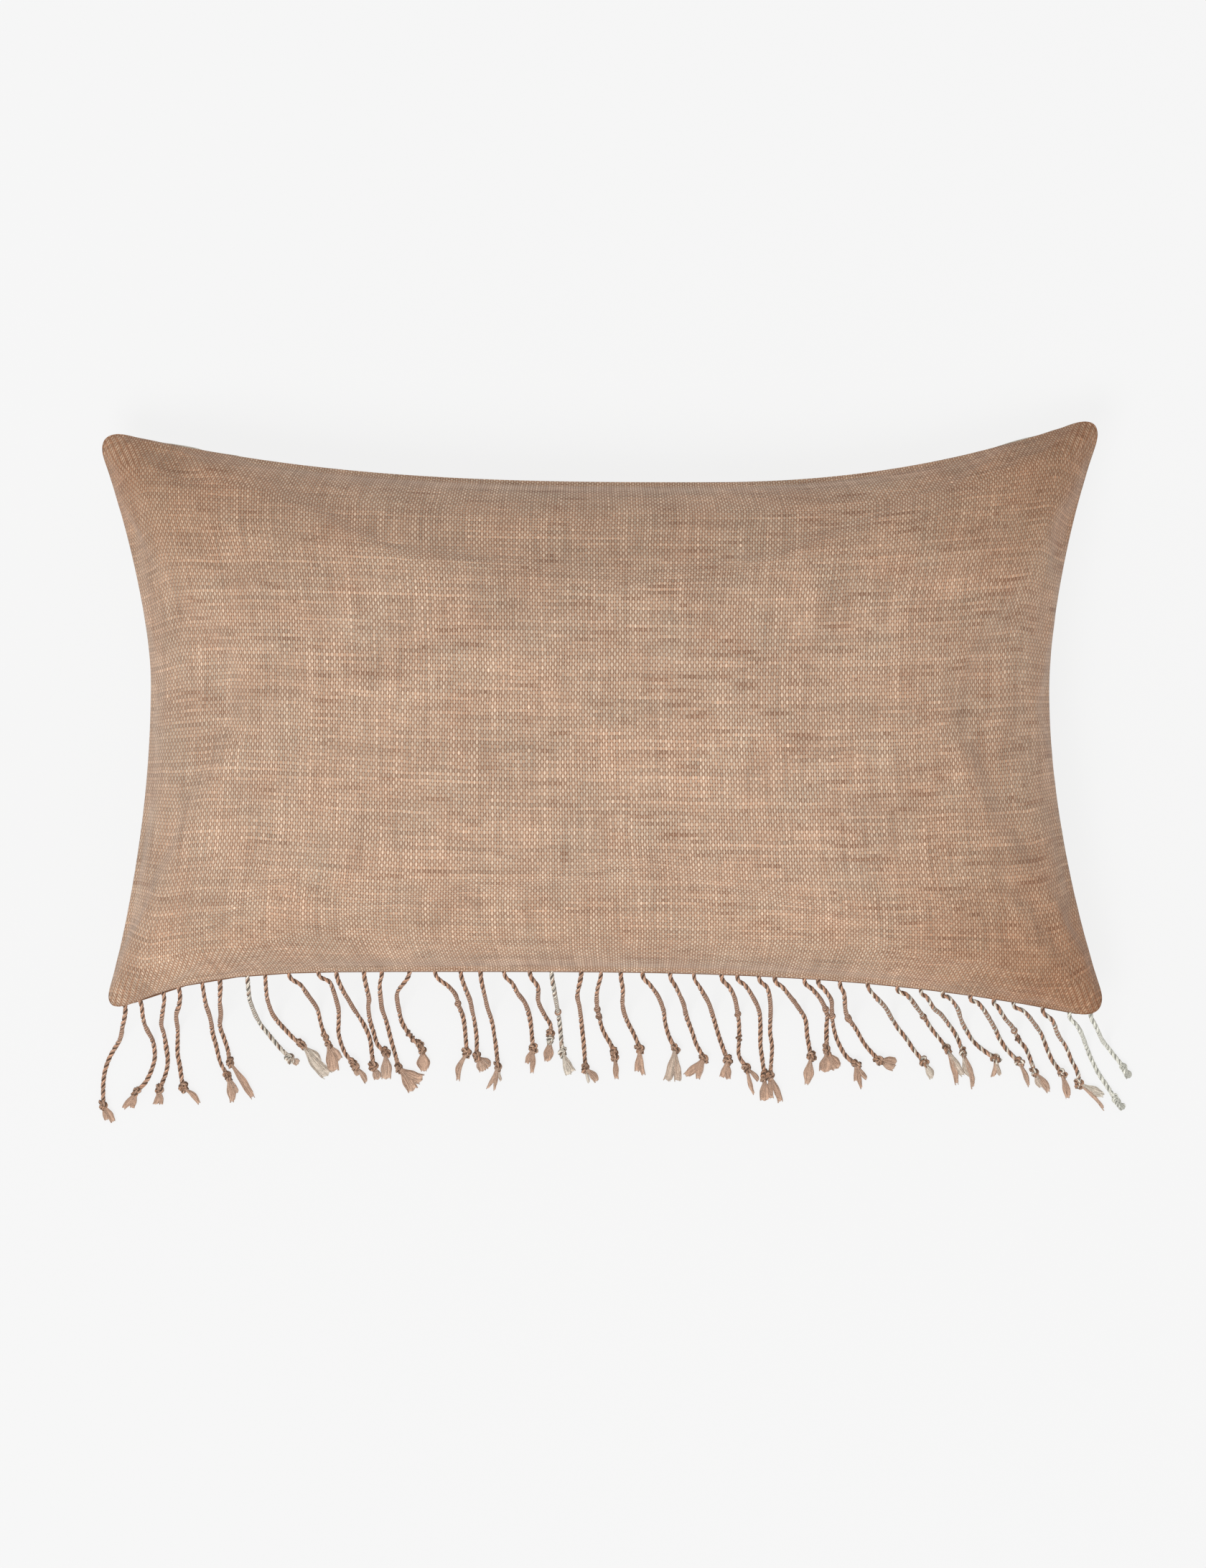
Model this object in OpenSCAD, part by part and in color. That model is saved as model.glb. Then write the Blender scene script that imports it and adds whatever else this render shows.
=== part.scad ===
// Lumbar throw pillow lying on its back, with a knotted cord fringe along its bottom seam.
// Millimetres. X runs along the long seams, Y points to the top seam, Z up from the resting face.

/* [Cover outline] */
// Half length of the cover's outline, to its corners before they are rounded
half_l = 257; // [250:1:262]
// Half height of the cover's outline, to its corners before they are rounded
half_h = 153; // [149:1:156]
// Height of the top seam above the centre line at its waist
top_waist = 121; // [116:1:126]
// Depth of the bottom seam below the centre line at its waist
bottom_waist = 127; // [123:1:131]
// Distance of the left seam from the centre line at its waist
left_waist = 229; // [224:1:236]
// Distance of the right seam from the centre line at its waist
right_waist = 226; // [222:1:234]
// Rounding of the corners in the cut cloth
corner_r = 18; // [14:1:22]

/* [Stuffing] */
// Height of the seam above the resting face, away from the corners
seam_h = 48; // [44:1:54]
// How much lower the seam is at the corners
corner_drop = 14; // [6:1:18]
// Height of the front panel's crown above the seam
front_crown = 74; // [60:1:80]
// Depth of the back panel's crown below the seam, before the resting face flattens it
back_crown = 56; // [55:1:64]

/* [Cloth] */
// Thickness of the cover's handwoven cloth
cloth_t = 1; // [0.8:0.1:1.2]
// Width of the cover's seam allowance
allowance = 7.5; // [7:0.5:8]
// Thickness of the insert's casing
casing_t = 0.6; // [0.5:0.1:0.8]

/* [Fringe] */
// Diameter of a two-ply cord
cord_d = 2.2; // [2:0.1:2.4]
// Bend radius of a cord where it leaves the seam and where it lands
drop_r = 10; // [6:0.5:11]
// Radius of a knot
knot_r = 2.6; // [2.4:0.1:2.6]
// Thickness of the tape that the cords are sewn to
header_t = 1.2; // [1:0.1:1.4]
// How far the tape stands out of the seam
header_lip = 0.2; // [0:0.1:1]

/* [Zip] */
// Length of the closed chain
zip_l = 340; // [300:10:340]
// Radius of the gentle arc that the top seam follows
zip_r = 1300; // [1200:50:1400]
// Half width of the slider's plates
slider_w = 3.6; // [3.4:0.1:3.8]
// Length of the slider
slider_l = 10; // [9:0.5:12]
// Length of the pull tab from its pin
tab_l = 17; // [14:1:20]

/* [Hidden] */
$fn = 32;

// Each edge: distance at its low corner, at its high corner and at the waist, where along the
// edge the waist lies from -1 to 1, and how sharply it rises to the low and the high corner.
edge_right = [half_l + 2, half_l, right_waist, 0.1, 1.9, 1.75];
edge_left = [half_l - 1, half_l + 3, left_waist, 0.14, 2.05, 1.6];
edge_top = [half_h - 3, half_h + 5, top_waist, 0.2, 2.85, 2.2];
edge_bottom = [half_h, half_h, bottom_waist, -0.27, 4.7, 3.05];

// Flat half sizes that insets are measured against
ref_l = 240;
ref_h = 125;

// Stations along each long edge, each short edge and each corner arc
long_n = 18;
short_n = 11;
arc_n = 3;

function rise(t, e) = t < e[3]
    ? e[2] + (e[0] - e[2]) * pow((e[3] - t) / (1 + e[3]), e[4])
    : e[2] + (e[1] - e[2]) * pow((t - e[3]) / (1 - e[3]), e[5]);

// A point of the panel, u and v from -1 to 1, at its place in the plan
function plan(u, v) = [
    u * rise(v, u > 0 ? edge_right : edge_left),
    v * rise(u, v > 0 ? edge_top : edge_bottom)
];

function clamp01(x) = max(0, min(1, x));
function smooth(x) = x * x * (3 - 2 * x);

// Height of the seam surface, lower only near the corners
function seam_z(u, v) =
    seam_h - corner_drop * smooth(clamp01((abs(u) - 0.76) / 0.24) * clamp01((abs(v) - 0.4) / 0.6));

// Fullness of a panel, 1 at the middle and 0 at the seam
function bulge(u, v) = sqrt(max(0, (1 - pow(abs(u), 2.6)) * (1 - pow(abs(v), 2.2))));

cu = corner_r / 250;
cv = corner_r / 150;
function corner(su, sv, from) = [
    for (k = [1 : arc_n - 1])
        let (a = from + 90 * k / arc_n)
        [su * (1 - cu) + cu * cos(a), sv * (1 - cv) + cv * sin(a)]
];
function along(from, to, n) = [for (k = [0 : n]) from + (to - from) * k / n];

bottom_run = [for (p = along([cu - 1, -1], [1 - cu, -1], long_n)) p];
right_run = [for (p = along([1, cv - 1], [1, 1 - cv], short_n)) p];
top_run = [for (p = along([1 - cu, 1], [cu - 1, 1], long_n)) p];
left_run = [for (p = along([-1, 1 - cv], [-1, cv - 1], short_n)) p];

// The rim of a panel, counterclockwise from the bottom left corner
rim = concat(
    bottom_run, corner(1, -1, 270), right_run, corner(1, 1, 0),
    top_run, corner(-1, 1, 90), left_run, corner(-1, -1, 180)
);

// Fractions of the way from the middle to the rim
cover_rings = [0.18, 0.36, 0.54, 0.7, 0.82, 0.91, 0.96, 0.985];
casing_rings = [0.3, 0.55, 0.75, 0.9, 0.97];

// The tape fills the seam below this v, so the back panel's rim is that much lower there
tape_v = -0.93;
function tape_gap(v) = v < tape_v ? header_t : 0;

function inset(p, d) = [p[0] * (1 - d / ref_l), p[1] * (1 - d / ref_h)];

// One point of a panel's skin. side is 1 for the front and -1 for the back; in_plan and in_crown
// are how far the skin lies inside the cover's outer face; nothing is lower than lowest.
function skin(p, s, side, in_plan, in_crown, lowest) =
    let (
        u = p[0] * s,
        v = p[1] * s,
        at = inset(plan(u, v), in_plan),
        puff = (side > 0 ? front_crown : back_crown) - in_crown,
        z = seam_z(u, v) + side * puff * bulge(u, v)
    )
    [at[0], at[1], side > 0 ? z : max(lowest, z)];

function flange(p, side, in_plan, lift) =
    let (at = inset(plan(p[0], p[1]), in_plan), gap = side > 0 ? 0 : tape_gap(p[1]))
    [at[0], at[1], seam_z(p[0], p[1]) + side * (gap + lift)];

// A closed skin through rings of points, with a point at each end
module loft(rings, first, last, flip) {
    n = len(rings[0]);
    m = len(rings);
    end = 1 + m * n;
    faces = concat(
        [for (k = [0 : n - 1]) [0, 1 + (k + 1) % n, 1 + k]],
        [for (j = [0 : m - 2], k = [0 : n - 1]) let (a = 1 + j * n, b = (k + 1) % n)
            [a + k, a + b, a + n + k]],
        [for (j = [0 : m - 2], k = [0 : n - 1]) let (a = 1 + j * n, b = (k + 1) % n)
            [a + b, a + n + b, a + n + k]],
        [for (k = [0 : n - 1]) let (a = 1 + (m - 1) * n) [a + k, a + (k + 1) % n, end]]
    );
    points = concat([first], [for (ring = rings) each ring], [last]);
    polyhedron(points, flip ? [for (f = faces) [f[2], f[1], f[0]]] : faces);
}

// A ribbon or tube through sections of equal count, either closed on itself or capped
module sweep(sections, closed) {
    n = len(sections[0]);
    m = len(sections);
    last = closed ? m - 1 : m - 2;
    sides = [
        for (j = [0 : last], k = [0 : n - 1])
            let (a = j * n, b = ((j + 1) % m) * n, q = (k + 1) % n)
            each [[a + k, a + q, b + k], [a + q, b + q, b + k]]
    ];
    caps = closed ? [] : [
        [for (k = [n - 1 : -1 : 0]) k],
        [for (k = [0 : n - 1]) (m - 1) * n + k]
    ];
    polyhedron([for (s = sections) each s], concat(sides, caps));
}

// ---- Cover and insert ----

back_floor = -20;

module cover_panel(side) {
    outer = [for (s = cover_rings) [for (p = rim) skin(p, s, side, 0, 0, back_floor)]];
    inner = [for (k = [len(cover_rings) - 1 : -1 : 0])
        [for (p = rim) skin(p, cover_rings[k], side, cloth_t + 0.1, cloth_t, cloth_t)]];
    seam = [
        [for (p = rim) flange(p, side, 0, 0)],
        [for (p = rim) flange(p, side, allowance, 0)],
        [for (p = rim) flange(p, side, allowance, 0.8)],
        [for (p = rim) flange(p, side, cloth_t + 0.1, 0.8)]
    ];
    loft(
        concat(outer, seam, inner),
        skin([0, 0], 0, side, 0, 0, back_floor),
        skin([0, 0], 0, side, 0, cloth_t, cloth_t),
        side < 0
    );
}

module cover_front() {
    color("rosybrown") cover_panel(1);
}

module cover_back() {
    cut_depth = 60;
    color("antiquewhite") difference() {
        cover_panel(-1);
        translate([-half_l, -half_h, -cut_depth]) cube([2 * half_l, 2 * half_h, cut_depth]);
        zip_opening();
    }
}

// The casing stays this far inside the cover's outer face, in plan and below the crown
casing_in = 9.5;
casing_deep = 2.5;
casing_floor = 1.5;

module casing_panel(side) {
    outer = [for (s = casing_rings)
        [for (p = rim) skin(p, s, side, casing_in, casing_deep, casing_floor)]];
    inner = [for (k = [len(casing_rings) - 1 : -1 : 0])
        [for (p = rim) skin(p, casing_rings[k], side, casing_in + casing_t, casing_deep + casing_t,
            casing_floor + casing_t)]];
    seam = [
        [for (p = rim) flange(p, side, casing_in, side > 0 ? 0 : -tape_gap(p[1]))],
        [for (p = rim) flange(p, side, casing_in + casing_t, side > 0 ? 0 : -tape_gap(p[1]))]
    ];
    loft(
        concat(outer, seam, inner),
        skin([0, 0], 0, side, 0, casing_deep, casing_floor),
        skin([0, 0], 0, side, 0, casing_deep + casing_t, casing_floor + casing_t),
        side < 0
    );
}

module insert_casing_front() {
    color("whitesmoke") casing_panel(1);
}

module insert_casing_back() {
    color("gainsboro") casing_panel(-1);
}

// The fill stays this far inside the cover's outer face, in plan and below the crown
fill_in = 11.5;
fill_deep = 4.5;
fill_floor = 3;

module fill() {
    upper = [for (s = casing_rings) [for (p = rim) skin(p, s, 1, fill_in, fill_deep, 0)]];
    lower = [for (k = [len(casing_rings) - 1 : -1 : 0])
        [for (p = rim) skin(p, casing_rings[k], -1, fill_in, fill_deep, fill_floor)]];
    color("snow") loft(
        concat(upper, lower),
        skin([0, 0], 0, 1, 0, fill_deep, 0),
        skin([0, 0], 0, -1, 0, fill_deep, fill_floor),
        false
    );
}

// The overlocked edge that binds the two seam allowances inside the cover
module seam_stitching() {
    thread_w = 0.6;
    thread_h = 1.1;
    color("linen") difference() {
        sweep([
            for (p = rim)
                let (z = seam_z(p[0], p[1]), a = inset(plan(p[0], p[1]), allowance),
                    b = inset(plan(p[0], p[1]), allowance + thread_w))
                [
                    [a[0], a[1], z + thread_h], [b[0], b[1], z + thread_h],
                    [b[0], b[1], z - thread_h - header_t], [a[0], a[1], z - thread_h - header_t]
                ]
        ], true);
        zip_opening();
    }
}

// A blank care label that hangs under the left seam and follows its line
module care_label() {
    label_v = along([-0.03, 0], [0.17, 0], 4);
    label_t = 0.5;
    low = seam_h - 24;
    high = seam_h - 5.5;
    lean = 3;
    color("white") sweep([
        for (p = label_v)
            let (x = label_t - rise(p[0], edge_left), y = p[0] * rise(-1, edge_top))
            [[x, y, high], [x - label_t, y, high], [x - label_t + lean, y, low], [x + lean, y, low]]
    ], false);
}

// ---- Fringe ----

header_rim = concat([corner(-1, -1, 180)[1]], bottom_run, corner(1, -1, 270));
header_line = [for (p = header_rim) plan(p[0], p[1])];
header_last = len(header_rim) - 1;

// A point at distance d outside the seam, square to it
function outside(k, d) =
    let (
        a = header_line[max(0, k - 1)],
        b = header_line[min(header_last, k + 1)],
        along_seam = (b - a) / norm(b - a)
    )
    header_line[k] + d * [along_seam[1], -along_seam[0]];

// Gap between the tape and the panel on each side of it
header_gap = 0.15;

module fringe_header() {
    color("sienna") sweep([
        for (k = [0 : header_last])
            let (
                top = seam_z(header_rim[k][0], header_rim[k][1]) - header_gap,
                low = top - header_t + 2 * header_gap,
                a = outside(k, header_lip),
                b = header_line[k],
                c = inset(header_line[k], allowance)
            )
            [
                [a[0], a[1], top], [b[0], b[1], top], [c[0], c[1], top],
                [c[0], c[1], low], [b[0], b[1], low], [a[0], a[1], low]
            ]
    ], false);
}

// Where the cords leave the tape: its outer edge, and the height of its middle, along X
exit_edge = [for (k = [0 : header_last]) outside(k, header_lip + 0.35)];
exit_y = [for (p = exit_edge) [p[0], p[1]]];
exit_z = [for (k = [0 : header_last])
    [exit_edge[k][0], seam_z(header_rim[k][0], header_rim[k][1]) - header_t / 2]];

// Every cord from the left: where it leaves the seam along X, the places that it passes on the
// surface, the last of them its knot, and the tips of its tassel.
CORDS = [
    [-243, [[-246, -159], [-254, -173], [-257, -184], [-257, -197]], [[-252, -206], [-255, -205]]],
    [-235, [[-234, -150], [-233, -158], [-231, -167], [-231, -175], [-235, -185], [-240, -190]],
        [[-247, -199], [-242, -199]]],
    [-223, [[-224, -149], [-226, -156], [-225, -166], [-224, -174], [-225, -181], [-228, -189]],
        [[-231, -197], [-227, -197]]],
    [-215, [[-215, -144], [-218, -152], [-219, -169], [-218, -176], [-216, -188]], [[-208, -197]]],
    [-203, [[-201, -149], [-201, -159], [-199, -167], [-197, -175], [-193, -182]],
        [[-191, -196], [-188, -191]]],
    [-194, [[-195, -148], [-197, -156], [-195, -163], [-193, -169], [-192, -175]], [[-180, -194]]],
    [-180, [[-179, -144], [-177, -154], [-172, -161], [-167, -167], [-161, -173]], [[-157, -176]]],
    [-171, [[-170, -146], [-168, -153], [-163, -159], [-159, -163], [-155, -166]],
        [[-146, -176], [-141, -182]]],
    [-159, [[-153, -134], [-150, -140], [-147, -147], [-145, -156], [-142, -164]],
        [[-139, -180], [-136, -174]]],
    [-144, [[-138, -133], [-136, -145], [-136, -154], [-136, -161], [-133, -170], [-128, -176]],
        [[-122, -186], [-126, -182]]],
    [-135, [[-130, -141], [-127, -149], [-123, -156], [-120, -163], [-119, -170], [-118, -177]],
        [[-116, -184]]],
    [-121, [[-119, -140], [-120, -146], [-120, -153], [-118, -160], [-116, -166], [-112, -170]],
        [[-112, -184]]],
    [-112, [[-113, -133], [-113, -140], [-113, -148], [-111, -156], [-109, -164], [-107, -171],
        [-105, -178]], [[-98, -190], [-93, -184]]],
    [-98, [[-104, -137], [-105, -143], [-104, -153], [-101, -159], [-97, -164], [-93, -167]],
        [[-92, -180]]],
    [-85, [[-78, -135], [-75, -140], [-74, -146], [-72, -152], [-71, -159], [-70, -170]],
        [[-74, -185]]],
    [-72, [[-68, -141], [-67, -149], [-66, -155], [-65, -163], [-65, -172]],
        [[-62, -180], [-58, -177]]],
    [-62, [[-60, -140], [-59, -147], [-57, -155], [-56, -161], [-55, -168], [-54, -177]],
        [[-60, -189], [-56, -190], [-52, -185]]],
    [-50, [[-46, -133], [-43, -139], [-40, -144], [-38, -151], [-37, -157], [-36, -168]],
        [[-37, -181], [-39, -176]]],
    [-37, [[-33, -135], [-33, -143], [-30, -151], [-27, -156], [-27, -162]], [[-29, -175]]],
    [-26, [[-25, -135], [-24, -142], [-23, -150], [-22, -158], [-21, -170]],
        [[-18, -182], [-15, -180]]],
    [-11, [[-13, -139], [-12, -146], [-11, -156], [-10, -165], [-9, -178]],
        [[-3, -185], [-7, -186]]],
    [-1, [[-3, -137], [-3, -146], [-1, -156], [1, -161], [4, -166], [6, -171]], [[7, -184]]],
    [9, [[10, -136], [10, -145], [12, -153], [16, -161], [19, -168]], [[17, -180], [21, -182]]],
    [20, [[24, -134], [28, -140], [31, -148], [32, -155], [34, -162], [37, -168]],
        [[33, -185], [39, -185]]],
    [34, [[37, -135], [41, -144], [43, -152], [46, -160], [48, -166], [52, -173]],
        [[42, -182], [49, -184]]],
    [46, [[49, -135], [54, -144], [57, -153], [60, -163], [64, -174]], [[61, -183], [65, -184]]],
    [60, [[64, -135], [67, -141], [69, -149], [70, -156], [70, -164], [70, -172], [74, -178]],
        [[80, -185], [78, -192]]],
    [68, [[72, -134], [76, -140], [80, -148], [81, -156], [81, -166], [82, -174], [83, -182]],
        [[83, -195]]],
    [79, [[83, -135], [85, -142], [86, -150], [86, -160], [87, -168], [86, -182]],
        [[91, -196], [87, -194]]],
    [87, [[91, -135], [95, -140], [99, -145], [104, -153], [105, -161], [106, -167], [107, -172]],
        [[105, -187]]],
    [102, [[106, -136], [111, -142], [115, -150], [115, -157], [115, -164], [115, -169]],
        [[114, -180], [121, -178]]],
    [109, [[112, -136], [116, -142], [117, -148], [118, -154], [119, -159], [121, -165],
        [125, -172], [130, -176]], [[130, -185], [133, -189], [136, -184]]],
    [120, [[122, -138], [123, -145], [125, -151], [130, -158], [134, -165], [138, -170],
        [142, -174]], [[151, -175], [150, -178]]],
    [134, [[144, -146], [148, -152], [152, -158], [156, -163], [160, -169], [165, -175]],
        [[169, -184]]],
    [149, [[154, -139], [160, -146], [165, -152], [169, -158], [173, -163], [177, -168]],
        [[182, -187], [186, -182]]],
    [161, [[164, -140], [168, -146], [173, -150], [178, -156], [182, -162], [185, -170]],
        [[190, -189], [192, -184]]],
    [172, [[175, -140], [180, -146], [183, -152], [187, -159], [191, -165], [197, -170],
        [202, -173]], [[200, -183], [205, -182]]],
    [186, [[190, -143], [195, -149], [201, -157], [204, -163], [208, -169], [214, -175]],
        [[219, -188]]],
    [198, [[200, -145], [204, -151], [210, -157], [214, -164], [218, -169], [222, -180]],
        [[229, -191], [226, -188]]],
    [208, [[213, -147], [219, -153], [225, -160], [228, -167], [231, -174], [236, -181]],
        [[239, -194]]],
    [223, [[228, -152], [232, -159], [238, -167], [241, -174], [244, -180], [245, -186]],
        [[258, -192], [258, -200]]],
    [237, [[241, -155], [247, -164], [251, -173], [255, -181], [259, -187], [264, -195]],
        [[268, -199]]],
    [248, [[250, -154], [254, -161], [260, -168], [264, -173], [268, -178]], [[271, -183]]]
];

cord_r = cord_d / 2;
// A cord rests on the surface with this much below it
rest_gap = 0.05;
// Straight run of a cord out of the tape, and how steeply it then falls
straight_run = 2.5;
fall_angle = 72;

// Smooth curve through the hand-placed points, and how far along it each sample lies
function curve(a, b, c, d, t) =
    0.5 * (2 * b + (c - a) * t + (2 * a - 5 * b + 4 * c - d) * t * t
        + (3 * b - a - 3 * c + d) * t * t * t);
function through(c, n) = concat(
    [for (i = [1 : len(c) - 3], k = [0 : n - 1]) curve(c[i - 1], c[i], c[i + 1], c[i + 2], k / n)],
    [c[len(c) - 2]]
);
function run_lengths(p) = [
    for (i = 0, run = 0; i < len(p);
        run = i + 1 < len(p) ? run + norm(p[i + 1] - p[i]) : run, i = i + 1) run
];

// How strongly a cord's curve holds the direction square to the tape
exit_pull = 20;
// Gap between a cord's end and its knot
knot_gap = 0.15;

function cord_plan(cord) =
    let (
        start = [cord[0], lookup(cord[0], exit_y)],
        along_tape = [2, lookup(cord[0] + 1, exit_y) - lookup(cord[0] - 1, exit_y)],
        outward = [along_tape[1], -along_tape[0]] / norm(along_tape),
        way = cord[1],
        last = way[len(way) - 1],
        before = way[len(way) - 2]
    )
    through(concat([way[0] - exit_pull * outward], [start], way, [2 * last - before]), 6);

bend_l = drop_r * fall_angle * PI / 180;

function fall_length(top, low) =
    (top - low - 2 * drop_r * (1 - cos(fall_angle))) / sin(fall_angle);

// The route seen from the side: out of the seam, down a slope, and along the surface, by length
function profile(t, top, low) =
    let (
        fall = fall_length(top, low),
        t1 = straight_run,
        t2 = t1 + bend_l,
        t3 = t2 + fall,
        t4 = t3 + bend_l,
        reach = drop_r * sin(fall_angle),
        slope = t1 + reach + fall * cos(fall_angle)
    )
    t < t1 ? [t, top]
    : t < t2 ? let (g = (t - t1) / drop_r * 180 / PI)
        [t1 + drop_r * sin(g), top - drop_r * (1 - cos(g))]
    : t < t3 ? [
        t1 + reach + (t - t2) * cos(fall_angle),
        top - drop_r * (1 - cos(fall_angle)) - (t - t2) * sin(fall_angle)
    ]
    : t < t4 ? let (g = fall_angle - (t - t3) / drop_r * 180 / PI)
        [slope + reach - drop_r * sin(g), low + drop_r * (1 - cos(g))]
    : [slope + reach + t - t4, low];

// The route's points from the tape to the knot
function cord_route(cord) =
    let (
        flat = cord_plan(cord),
        runs = run_lengths(flat),
        total = runs[len(runs) - 1],
        xs = [for (i = [0 : len(flat) - 1]) [runs[i], flat[i][0]]],
        ys = [for (i = [0 : len(flat) - 1]) [runs[i], flat[i][1]]],
        top = lookup(cord[0], exit_z),
        low = cord_r + rest_gap,
        fall = fall_length(top, low),
        landed = straight_run + 2 * bend_l + fall,
        floor_run = total - knot_r - knot_gap - profile(landed, top, low)[0],
        fall_n = ceil(fall / 6.6),
        floor_n = ceil(floor_run / 6),
        steps = concat(
            [0, straight_run, straight_run + bend_l / 2],
            [for (k = [0 : fall_n]) straight_run + bend_l + fall * k / fall_n],
            [landed - bend_l / 2],
            [for (k = [0 : floor_n]) landed + floor_run * k / floor_n]
        )
    )
    [
        for (t = steps)
            let (
                at = profile(t, top, low),
                lift = (knot_r - cord_r) * smooth(clamp01((at[0] - total + 10) / 7))
            )
            [lookup(at[0], xs), lookup(at[0], ys), at[1] + lift]
    ];

// Eight-sided tube along a route
module tube(route, r) {
    last = len(route) - 1;
    sweep([
        for (i = [0 : last])
            let (
                ahead = route[min(last, i + 1)] - route[max(0, i - 1)],
                t = ahead / norm(ahead),
                across = [1, 0, 0] - t[0] * t,
                a = across / norm(across),
                b = cross(t, a)
            )
            [for (k = [0 : 7]) route[i] + r * (cos(45 * k) * a - sin(45 * k) * b)]
    ], false);
}

function shade(n) = n > 41 ? "gainsboro" : n == 20 || n == 7 ? "bisque" : n > 33 ? "tan" : "sienna";

module fringe_cord(n) {
    color(shade(n)) tube(cord_route(CORDS[n - 1]), cord_r);
}

function knot_at(cord) = cord[1][len(cord[1]) - 1];
function mean(points, i = 0) =
    i == len(points) - 1 ? points[i] / len(points) : points[i] / len(points) + mean(points, i + 1);

module fringe_knots() {
    color("peru") for (cord = CORDS) {
        at = knot_at(cord);
        translate([at[0], at[1], 0.05]) cylinder(h = 2 * knot_r - 0.1, r = knot_r);
    }
}

module fringe_tassels() {
    narrow = 1.5;
    wide = 2.4;
    color("burlywood") for (cord = CORDS) {
        at = knot_at(cord);
        away = mean(cord[2]) - at;
        translate([at[0], at[1], 0.4]) rotate([0, 0, atan2(away[1], away[0])]) linear_extrude(3.4)
            polygon([[knot_r, -narrow], [norm(away), -wide], [norm(away), wide], [knot_r, narrow]]);
    }
}

// ---- Zip ----

zip_z = seam_h - 8;
zip_x = 2;
zip_inset = 6.6;
tape_t = 0.6;
coil_t = 1.8;
coil_low = 0.7;
coil_high = 2.4;
opening_low = 5;
zip_end = zip_l / 2 / zip_r * 180 / PI;
// How far the tapes run on past the stops, in degrees
tape_tail = 0.34;
stop_l = 2.5;

// Puts a piece at an angle along the zip: local x along the zip, y out of the pillow, z up
module at_zip(angle) {
    translate([zip_x, top_waist + zip_r, zip_z]) rotate([0, 0, angle])
        translate([0, -zip_r - zip_inset, 0]) children();
}

// A band along the zip, from y to y + thick out of the pillow and from low to high
module band(y, thick, low, high, reach) {
    translate([zip_x, top_waist + zip_r, zip_z]) rotate([0, 0, -90 - reach])
        rotate_extrude(angle = 2 * reach, $fn = 2000)
        translate([zip_r + zip_inset - y - thick, low]) square([thick, high - low]);
}

module zip_opening() {
    band(-6, 16, -opening_low, seam_h - zip_z, zip_end + tape_tail + 0.12);
}

module zip_tape_front() {
    color("ivory") band(-tape_t, tape_t, 1.6, seam_h - zip_z, zip_end + tape_tail);
}

module zip_tape_back() {
    color("ivory") band(-tape_t, tape_t, -opening_low, -1.6, zip_end + tape_tail);
}

coil_end = zip_end - stop_l / zip_r * 180 / PI;

module zip_coil_front() {
    color("linen") band(0, coil_t, coil_low, coil_high, coil_end);
}

module zip_coil_back() {
    color("linen") band(0, coil_t, -coil_high, -coil_low, coil_end);
}

module zip_end_stops() {
    color("silver") for (side = [-1, 1])
        at_zip(side * (zip_end - stop_l / 2 / zip_r * 180 / PI))
            translate([-stop_l / 2 + 0.05, 0, -2.8]) cube([stop_l - 0.1, 2.1, 5.6]);
}

// The slider rests closed against the right-hand stop
slider_at = (zip_l / 2 - stop_l - slider_l / 2 - 0.4) / zip_r * 180 / PI;
pin_y = 4.7;
pin_r = 0.6;
ear_gap = 1.4;
plate_y = 2.1;
plate_t = 1.2;

module zip_slider() {
    color("silver") at_zip(slider_at) {
        // Outer plate with the edges that hold the chain
        translate([-slider_l / 2, plate_y, -slider_w]) cube([slider_l, plate_t, 2 * slider_w]);
        for (z = [-slider_w, slider_w - 0.7])
            translate([-slider_l / 2, 0.5, z]) cube([slider_l, plate_y - 0.5 + 0.2, 0.7]);
        // Web between the coils, and inner plate behind the tapes
        translate([slider_l / 2 - 3, -1.2, -0.35]) cube([3, plate_y + 1.4, 0.7]);
        translate([-slider_l / 2, -2, -slider_w]) cube([slider_l, 1.1, 2 * slider_w]);
        // Ears and pin of the pull tab
        for (z = [-ear_gap - 0.8, ear_gap])
            translate([-1.5, plate_y + plate_t - 0.2, z]) cube([3, pin_y - plate_y - plate_t + 1.4, 0.8]);
        translate([0, pin_y, -ear_gap - 0.4]) cylinder(h = 2 * ear_gap + 0.8, r = pin_r);
    }
}

module zip_pull_tab() {
    bore_r = pin_r + 0.05;
    eye_r = 1.3;
    tab_t = 1;
    tab_w = 4.4;
    color("silver") at_zip(slider_at) translate([0, pin_y, 0]) difference() {
        union() {
            translate([0, 0, 0.1 - ear_gap]) cylinder(h = 2 * ear_gap - 0.2, r = eye_r);
            translate([-5, -tab_t / 2, 0.1 - ear_gap]) cube([4.5, tab_t, 2 * ear_gap - 0.2]);
            translate([-tab_l, -tab_t / 2, -tab_w / 2]) cube([tab_l - 4, tab_t, tab_w]);
        }
        translate([0, 0, -ear_gap]) cylinder(h = 2 * ear_gap, r = bore_r);
    }
}

// ---- Nodes ----

function cord_name(n) = str("fringe_cord_", n < 10 ? "0" : "", n);

cover_front();
cover_back();
insert_casing_front();
insert_casing_back();
fill();
seam_stitching();
care_label();
fringe_header();
fringe_knots();
fringe_tassels();
zip_tape_front();
zip_tape_back();
zip_coil_front();
zip_coil_back();
zip_end_stops();
zip_slider();
zip_pull_tab();
for (n = [1 : len(CORDS)]) fringe_cord(n);
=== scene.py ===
import math

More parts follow.
